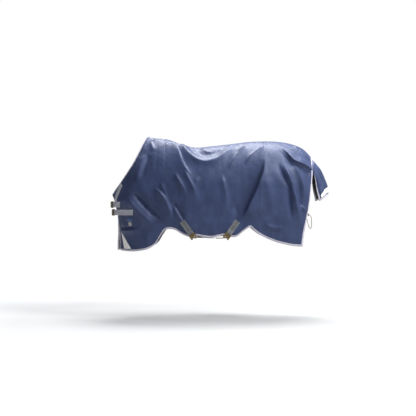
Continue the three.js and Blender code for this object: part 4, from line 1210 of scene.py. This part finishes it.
# ---------- chest webbing and its locks ----------
CHEST_STRAPS = ({"name": "upper", "x": -730.0, "z": -484.0}, {"name": "lower", "x": -720.0, "z": -550.0})
CHEST_STARTS = {"upper": -640, "lower": -524}
CHEST_SEWN_END = -660
CHEST_LIFT = 1.7  # the middle of its webbing over the cloth
NECK_WEBBING_PATH = [(-628, -318), (-655, -372), (-676, -425), (-684, -462)]
NECK_WEBBING_WIDTH = 44.0
NECK_WEBBING_LIFT = 1.8
DIAGONAL = math.sqrt(0.5)


def chest_line(side, z, x, lock_bar, start_x):
    """Webbing across the chest: on the cloth, then off it to the bar, round it and back."""
    ahead = np.array((-DIAGONAL, -side * DIAGONAL, 0))
    outer = np.cross(ahead, UP) * -side
    cross = np.array((x, 0, z))
    bar = cross + ahead * lock_bar
    spots = [cloths[side].on(spot, z) for spot in np.linspace(start_x, CHEST_SEWN_END, 8)]
    sewn = [place + normal * CHEST_LIFT for place, normal in spots]
    head = smooth_line([*sewn, bar - ahead * 17 + outer * 1.3], 4)
    if outer @ spots[0][1] < 0:
        outer = -outer
    return cross, ahead, np.concatenate([head[:-1], eye_line(bar, ahead, outer)]), len(head) - 5


def add_chest_strap(side, name, x, z):
    """Left: webbing that holds a slotted plate. Right: webbing that swings at the chest, with its hook."""
    lock_bar = CHEST_LOCK["rim"] / 2 - CHEST_LOCK["plateLength"] if side == LEFT else bar_x(CHEST_LOCK)
    cross, ahead, line, sewn = chest_line(side, z, x, lock_bar, CHEST_STARTS[name])
    across, ups = frames(line, np.tile(UP, (len(line), 1)))
    ups = turn_out(ups, (0.0, side, 0.0))
    label = SIDE_NAMES[side]
    body = "rug" if side == LEFT else None
    surface = strap_surface(line, across, STRAP_WIDTH)
    clear_cloth(surface[:sewn], side, CHEST_LIFT)
    piece = add_strap(f"{label}_{name}_chest_strap", surface, line, STRAP_WIDTH, ups, CHEST_WEBBING, body)
    stands_for = [] if name == "upper" else [f"{label}_lower_chest_webbing"]
    if side == LEFT:
        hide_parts(f"{name}_chest_plate_loop", *stands_for)
        add_metal(f"{name}_chest_slotted_plate", plate_outline(CHEST_LOCK), cross, ahead, UP, "rug",
                  f"{name}_chest_slot_plate")
    else:
        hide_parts(f"{name}_chest_strap", *stands_for)
        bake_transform(piece)
        add_metal(f"{name}_chest_t_hook", hook_outline(CHEST_LOCK), cross, ahead, UP, f"{name}_chest_hook",
                  f"{name}_chest_hook")
    tab_stitches(f"{label}_{name}_chest", surface[:sewn], ups[:sewn])


for side in (LEFT, RIGHT):
    label = SIDE_NAMES[side]
    piece = add_sewn(f"{label}_neck_webbing", side, NECK_WEBBING_PATH, NECK_WEBBING_WIDTH, CHEST_WEBBING,
                     NECK_WEBBING_LIFT)
    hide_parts(f"{label}_upper_chest_webbing")
    for strap in CHEST_STRAPS:
        add_chest_strap(side, **strap)


# ---------- wedges, tag and badge ----------
WEDGE = {"topX": -636, "topZ": -712, "lowFrontX": -610, "lowRearX": -545, "lowZ": -852}
PATCH_BASE, PATCH_TOP = 0.2, 1.1  # heights of the reflective patches over the cloth
BADGE = {"x": -552, "z": -645, "radius": 20}
BADGE_PROFILE = [
    (0.02, 1.5), (0.5, 1.5), (0.8, 1.5), (0.86, 2.1), (0.93, 2.3), (1.0, 1.9), (1.0, 0.1), (0.02, 0.1),
]
TAG = {"path": [(-579, -614), (-533, -616)], "width": 15, "thick": 0.9}


def add_wedge(side):
    """A reflective patch: a narrow triangle that widens down to the hem."""
    cloth = cloths[side]
    rows, columns = np.linspace(0.03, 1, 22), np.linspace(0, 1, 9)
    surface = np.empty((len(rows), len(columns), 3))
    ups = np.empty_like(surface)
    for i, t in enumerate(rows):
        front, rear = mix(WEDGE["topX"], WEDGE["lowFrontX"], t), mix(WEDGE["topX"], WEDGE["lowRearX"], t)
        for j, s in enumerate(columns):
            surface[i, j], ups[i, j] = cloth.on(mix(front, rear, s), mix(WEDGE["topZ"], WEDGE["lowZ"], t))
    name = f"{SIDE_NAMES[side]}_wedge_patch"
    top = surface + PATCH_TOP * ups
    piece = slab(name, top, surface + PATCH_BASE * ups, REFLECTIVE, surface[..., [0, 2]])
    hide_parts(f"{SIDE_NAMES[side]}_reflective_wedge")
    for number, column in ((1, 0), (2, -1)):
        add_stitches(f"{name}_stitches_{number}", top[:, column], ups[:, column], STITCH["webbing_pitch"])


def add_badge():
    """A round woven badge with a raised rim, flat on the shoulder."""
    place, normal = cloths[LEFT].on(BADGE["x"], BADGE["z"])
    x_dir = unit(np.cross(normal, UP))
    y_dir = np.cross(x_dir, normal)
    turn = full_turn(48)
    flat = np.stack([np.cos(turn), np.sin(turn)], -1) * BADGE["radius"]
    spokes = flat @ np.stack([x_dir, y_dir])
    rings = np.array([place + spokes * share + normal * high for share, high in BADGE_PROFILE])
    uv = np.concatenate([flat * share for share, _ in BADGE_PROFILE])
    piece = tube("round_badge", rings, BADGE_GREY, uv)
    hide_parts("shoulder_badge")


for side in (LEFT, RIGHT):
    add_wedge(side)
add_badge()
piece = add_sewn("shoulder_label", LEFT, TAG["path"], TAG["width"], TAG_BLUE, TAG["thick"], TAG["thick"])
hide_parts("shoulder_tag")


# ---------- tail flap ----------
FLAP_CENTRE = [(984, -108), (1027, -158), (1070, -234), (1096, -312), (1113, -405)]
FLAP_EDGE = [(985, 125, -248), (993, 127, -310), (1001, 128, -372), (1012, 129, -415), (1022, 130, -455)]
FLAP_END = 4
FLAP_TUCK = 0.35  # rows of cloth tucked in under the rug's rear edge
FLAP_FOLDS = [
    # height, half-width across (of q), where it starts (q, row) and where it ends
    (9, 0.10, (-0.35, 0.1), (-0.15, 3.9)), (-6, 0.09, (-0.55, 0.4), (-0.42, 4.2)),
    (7, 0.11, (0.3, 0.0), (0.45, 4.0)), (-5, 0.10, (0.1, 0.6), (0.05, 3.6)),
    (6, 0.08, (-0.75, 0.2), (-0.82, 3.9)), (5, 0.09, (0.7, 0.3), (0.72, 4.0)),
]
FLAP_BRAID_SCALE = (0.95, 0.62)
FLAP_SHARE = (0.955, 0.975)  # how much of the flap its cloth covers, across and down, inside the braid
STRIP = {"from": 3.25, "to": 3.72, "reach": 0.86, "base": 0.3, "top": 1.2}


def flap_surface(row, q):
    """The tail flap over row, which counts down from its root, and q, from -1 at the left edge to 1."""
    centre, edge = along(FLAP_CENTRE, np.clip(row, 0, FLAP_END)), along(FLAP_EDGE, np.clip(row, 0, FLAP_END))
    turn = np.abs(q) * math.pi / 2
    bend = np.cos(turn)
    tuck = np.minimum(row, 0)
    return np.stack([
        mix(edge[..., 0], centre[..., 0], bend) + 70 * tuck,
        np.sign(q) * edge[..., 1] * np.sin(turn) * (1 + 0.10 * tuck),
        mix(edge[..., 2], centre[..., 1], bend) + 8 * tuck,
    ], -1)


def flap_normals(row, q):
    row_in = np.clip(row, STEP, FLAP_END - STEP)
    down = flap_surface(row_in + STEP, q) - flap_surface(row_in - STEP, q)
    across = flap_surface(row_in, q + STEP) - flap_surface(row_in, q - STEP)
    return unit(np.cross(down, across))


def flap_heights(row, q):
    heights = np.zeros_like(q)
    for height, width, (q_start, row_start), (q_end, row_end) in FLAP_FOLDS:
        t = (row - row_start) / (row_end - row_start)
        line = mix(q_start, q_end, t)
        bump = np.exp(-np.abs((q - line) / width) ** 1.6)
        heights += height * bump * smooth(t / 0.3) * smooth((1.15 - t) / 0.3)
    ripple = [noise.noise(Vector((4 * a, 1.1 * b, 5.1))) for a, b in zip(q.ravel(), row.ravel())]
    return heights + 4 * np.array(ripple).reshape(q.shape) * smooth(row)


def add_flap():
    rows, across = np.linspace(-FLAP_TUCK, FLAP_END, 84), np.linspace(-1, 1, 101)
    q, row = np.meshgrid(across * FLAP_SHARE[0], rows, indexing="ij")
    row = np.where(row > 0, row * FLAP_SHARE[1], row)
    normals = flap_normals(row, q)
    top = flap_surface(row, q) + normals * flap_heights(row, q)[..., None]
    layers = [
        ("tail_flap_cloth", 0.0, 2.0, RIPSTOP, "ripstop", "tail_flap"),
        ("tail_flap_inner", 2.4, 3.6, LINING, "lining", "tail_flap_lining"),
    ]
    wide, long = lengths(top[:, -1])[-1], lengths_down(top)[len(across) // 2, -1]
    for name, high, low, finish, slot, node in layers:
        piece = slab(name, top - high * normals, top - low * normals, finish, cloth_uv(top), None)
        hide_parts(node)
        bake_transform(piece)
    sewn = rows >= 0
    piece = bind_edge("tail_flap_braid", top[:, sewn], normals[:, sewn], FLAP_BRAID_SCALE, None)
    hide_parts("tail_flap_binding")
    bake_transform(piece)
    add_flap_strip()


def add_flap_strip():
    rows = np.linspace(STRIP["from"], STRIP["to"], 12)
    q, row = np.meshgrid(np.linspace(-STRIP["reach"], STRIP["reach"], 80), rows, indexing="ij")
    normals = flap_normals(row, q)
    surface = flap_surface(row, q) + normals * flap_heights(row, q)[..., None]
    top, base = surface + STRIP["top"] * normals, surface + STRIP["base"] * normals
    piece = slab("flap_strip", top, base, REFLECTIVE, cloth_uv(surface), "tail_flap")
    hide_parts("tail_flap_strip")


add_flap()


# ---------- tail cord ----------
CORD_RADIUS = 4.0
CORD_SWELL = 0.10  # how deep the grooves of its braid are
CORD_PITCH = 9.0
CORD_ROUTE = [
    (932, -197, -572), (941, -193, -576), (949, -185, -588), (954, -170, -611), (958, -142, -641),
    (961, -104, -666), (963, -54, -682), (964, 0, -688),
]
CORD_TAB = {"length": 40, "width": 18, "thick": 2.6}


def cord_line():
    """The cord's route: the left half, and the same mirrored."""
    left = np.array(CORD_ROUTE, float)
    points = np.concatenate([left, left[-2::-1] * (1, -1, 1)])
    gaps = np.sqrt(np.linalg.norm(np.diff(points, axis=0), axis=1))
    knots = np.concatenate([[0], np.cumsum(gaps)])
    return cubic(knots, points, np.gradient(points, knots, axis=0), np.linspace(0, knots[-1], 241))


def add_cord():
    """A braided cord from one rear corner to the other, hanging behind the hind legs."""
    line = cord_line()
    ahead = unit(np.gradient(line, axis=0))
    aside = unit(np.cross(ahead, UP))
    above = np.cross(aside, ahead)
    turn = full_turn(16)
    run = lengths(line)
    twist = run[:, None] / CORD_PITCH * math.pi
    swell = 0.5 + 0.5 * np.sin(3 * turn + twist) * np.sin(3 * turn - twist)
    radius = CORD_RADIUS * (1 - CORD_SWELL + CORD_SWELL * swell)
    rings = line[:, None] + radius[..., None] * (
        np.cos(turn)[None, :, None] * aside[:, None] + np.sin(turn)[None, :, None] * above[:, None])
    piece = tube("tail_leg_cord", rings, CORD, grid_uv(run, CORD_RADIUS * turn))
    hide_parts("tail_cord")
    for side, end, back in ((LEFT, line[0], -ahead[0]), (RIGHT, line[-1], ahead[-1])):
        tab = np.array([end + back * s for s in np.linspace(0.4, CORD_TAB["length"], 8)])
        aside = np.tile(unit(UP - back * back[2]), (len(tab), 1))
        _, ups = frames(tab, aside)
        piece = add_strap(f"{SIDE_NAMES[side]}_cord_loop", strap_surface(tab, aside, CORD_TAB["width"]), tab,
                          CORD_TAB["width"], ups, WEBBING, thick=CORD_TAB["thick"])
        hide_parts(f"{SIDE_NAMES[side]}_cord_tab")


add_cord()


# ---------- stage and light ----------
FLOOR_Z = -1.43
FLOOR_RADIUS = 4.6
FLOOR_EVEN_SHARE = 0.45  # of its radius, within which its colour stays the same
FLOOR_COLOUR = (0.50, 0.50, 0.50)
# painted light: the floor's rim is coloured paler so that it looks as bright as the lamp-lit middle
FLOOR_RIM_PAINTED_LIGHT = (0.97, 0.97, 0.97)
SKY_AIM = (0.45, -0.1, 0.89)  # the brightest part of the sky: above, and a little towards the tail
SKY_RANGE = {"From Min": -0.6, "From Max": 0.9, "To Min": 0.0, "To Max": 0.80}
SKY_COLOUR = (0.90, 0.94, 1.0, 1)
LAMPS = (
    {"name": "overhead", "place": (0.5, 0.8, 2.6), "target": (0.1, 0.1, 0), "size": (3.2, 1.6), "power": 270},
    {"name": "key", "place": (3.4, -2.2, 3.1), "target": (0.1, 0, -0.4), "size": (1.6, 1.6), "power": 300},
)


def make_floor():
    """A round pale floor with painted light: its colour turns paler towards its rim, to make up for the less
    light that falls there.
    """
    rim = [(FLOOR_RADIUS * math.cos(a), FLOOR_RADIUS * math.sin(a), FLOOR_Z) for a in full_turn(96)]
    mesh = bpy.data.meshes.new("floor")
    mesh.from_pydata(rim, [], [tuple(range(len(rim)))])
    finish = Finish("floor", FLOOR_COLOUR, 0.8)
    away = finish.node("VectorMath", {"operation": "LENGTH"}, Vector=finish.coordinates["Object"])
    share = finish.math("DIVIDE", away.outputs["Value"], FLOOR_RADIUS)
    # painted light: the colour brightens with distance from the middle, standing in for the light that falls
    # off towards the rim
    finish.colour_by(share, [(FLOOR_EVEN_SHARE, FLOOR_COLOUR), (1.0, FLOOR_RIM_PAINTED_LIGHT)])
    mesh.materials.append(finish.material)
    link_object("floor", mesh)


def add_lamp(name, place, target, size, power):
    data = bpy.data.lights.new(name, "AREA")
    data.shape = "RECTANGLE"
    data.size, data.size_y = size
    data.energy = power
    light = link_object(name, data)
    light.location = place
    light.rotation_euler = (Vector(target) - Vector(place)).to_track_quat("-Z", "Y").to_euler()


def light_scene():
    """A white backdrop, a sky that is brightest above, a soft light over the back and a key light."""
    world = bpy.data.worlds.new("world")
    bpy.context.scene.world = world
    world.use_nodes = True
    nodes, links = world.node_tree.nodes, world.node_tree.links
    backdrop = nodes["Background"]
    backdrop.inputs["Color"].default_value = (1, 1, 1, 1)
    backdrop.inputs["Strength"].default_value = 1.0
    sky = nodes.new("ShaderNodeBackground")
    place = nodes.new("ShaderNodeTexCoord")
    towards = nodes.new("ShaderNodeVectorMath")
    towards.operation = "DOT_PRODUCT"
    towards.inputs[1].default_value = SKY_AIM
    rise = nodes.new("ShaderNodeMapRange")
    links.new(place.outputs["Generated"], towards.inputs[0])
    links.new(towards.outputs["Value"], rise.inputs["Value"])
    for socket, value in SKY_RANGE.items():
        rise.inputs[socket].default_value = value
    links.new(rise.outputs[0], sky.inputs["Strength"])
    sky.inputs["Color"].default_value = SKY_COLOUR
    path, join = nodes.new("ShaderNodeLightPath"), nodes.new("ShaderNodeMixShader")
    links.new(path.outputs["Is Camera Ray"], join.inputs[0])
    links.new(sky.outputs[0], join.inputs[1])
    links.new(backdrop.outputs[0], join.inputs[2])
    links.new(join.outputs[0], nodes["World Output"].inputs["Surface"])
    for lamp in LAMPS:
        add_lamp(**lamp)


make_floor()
light_scene()
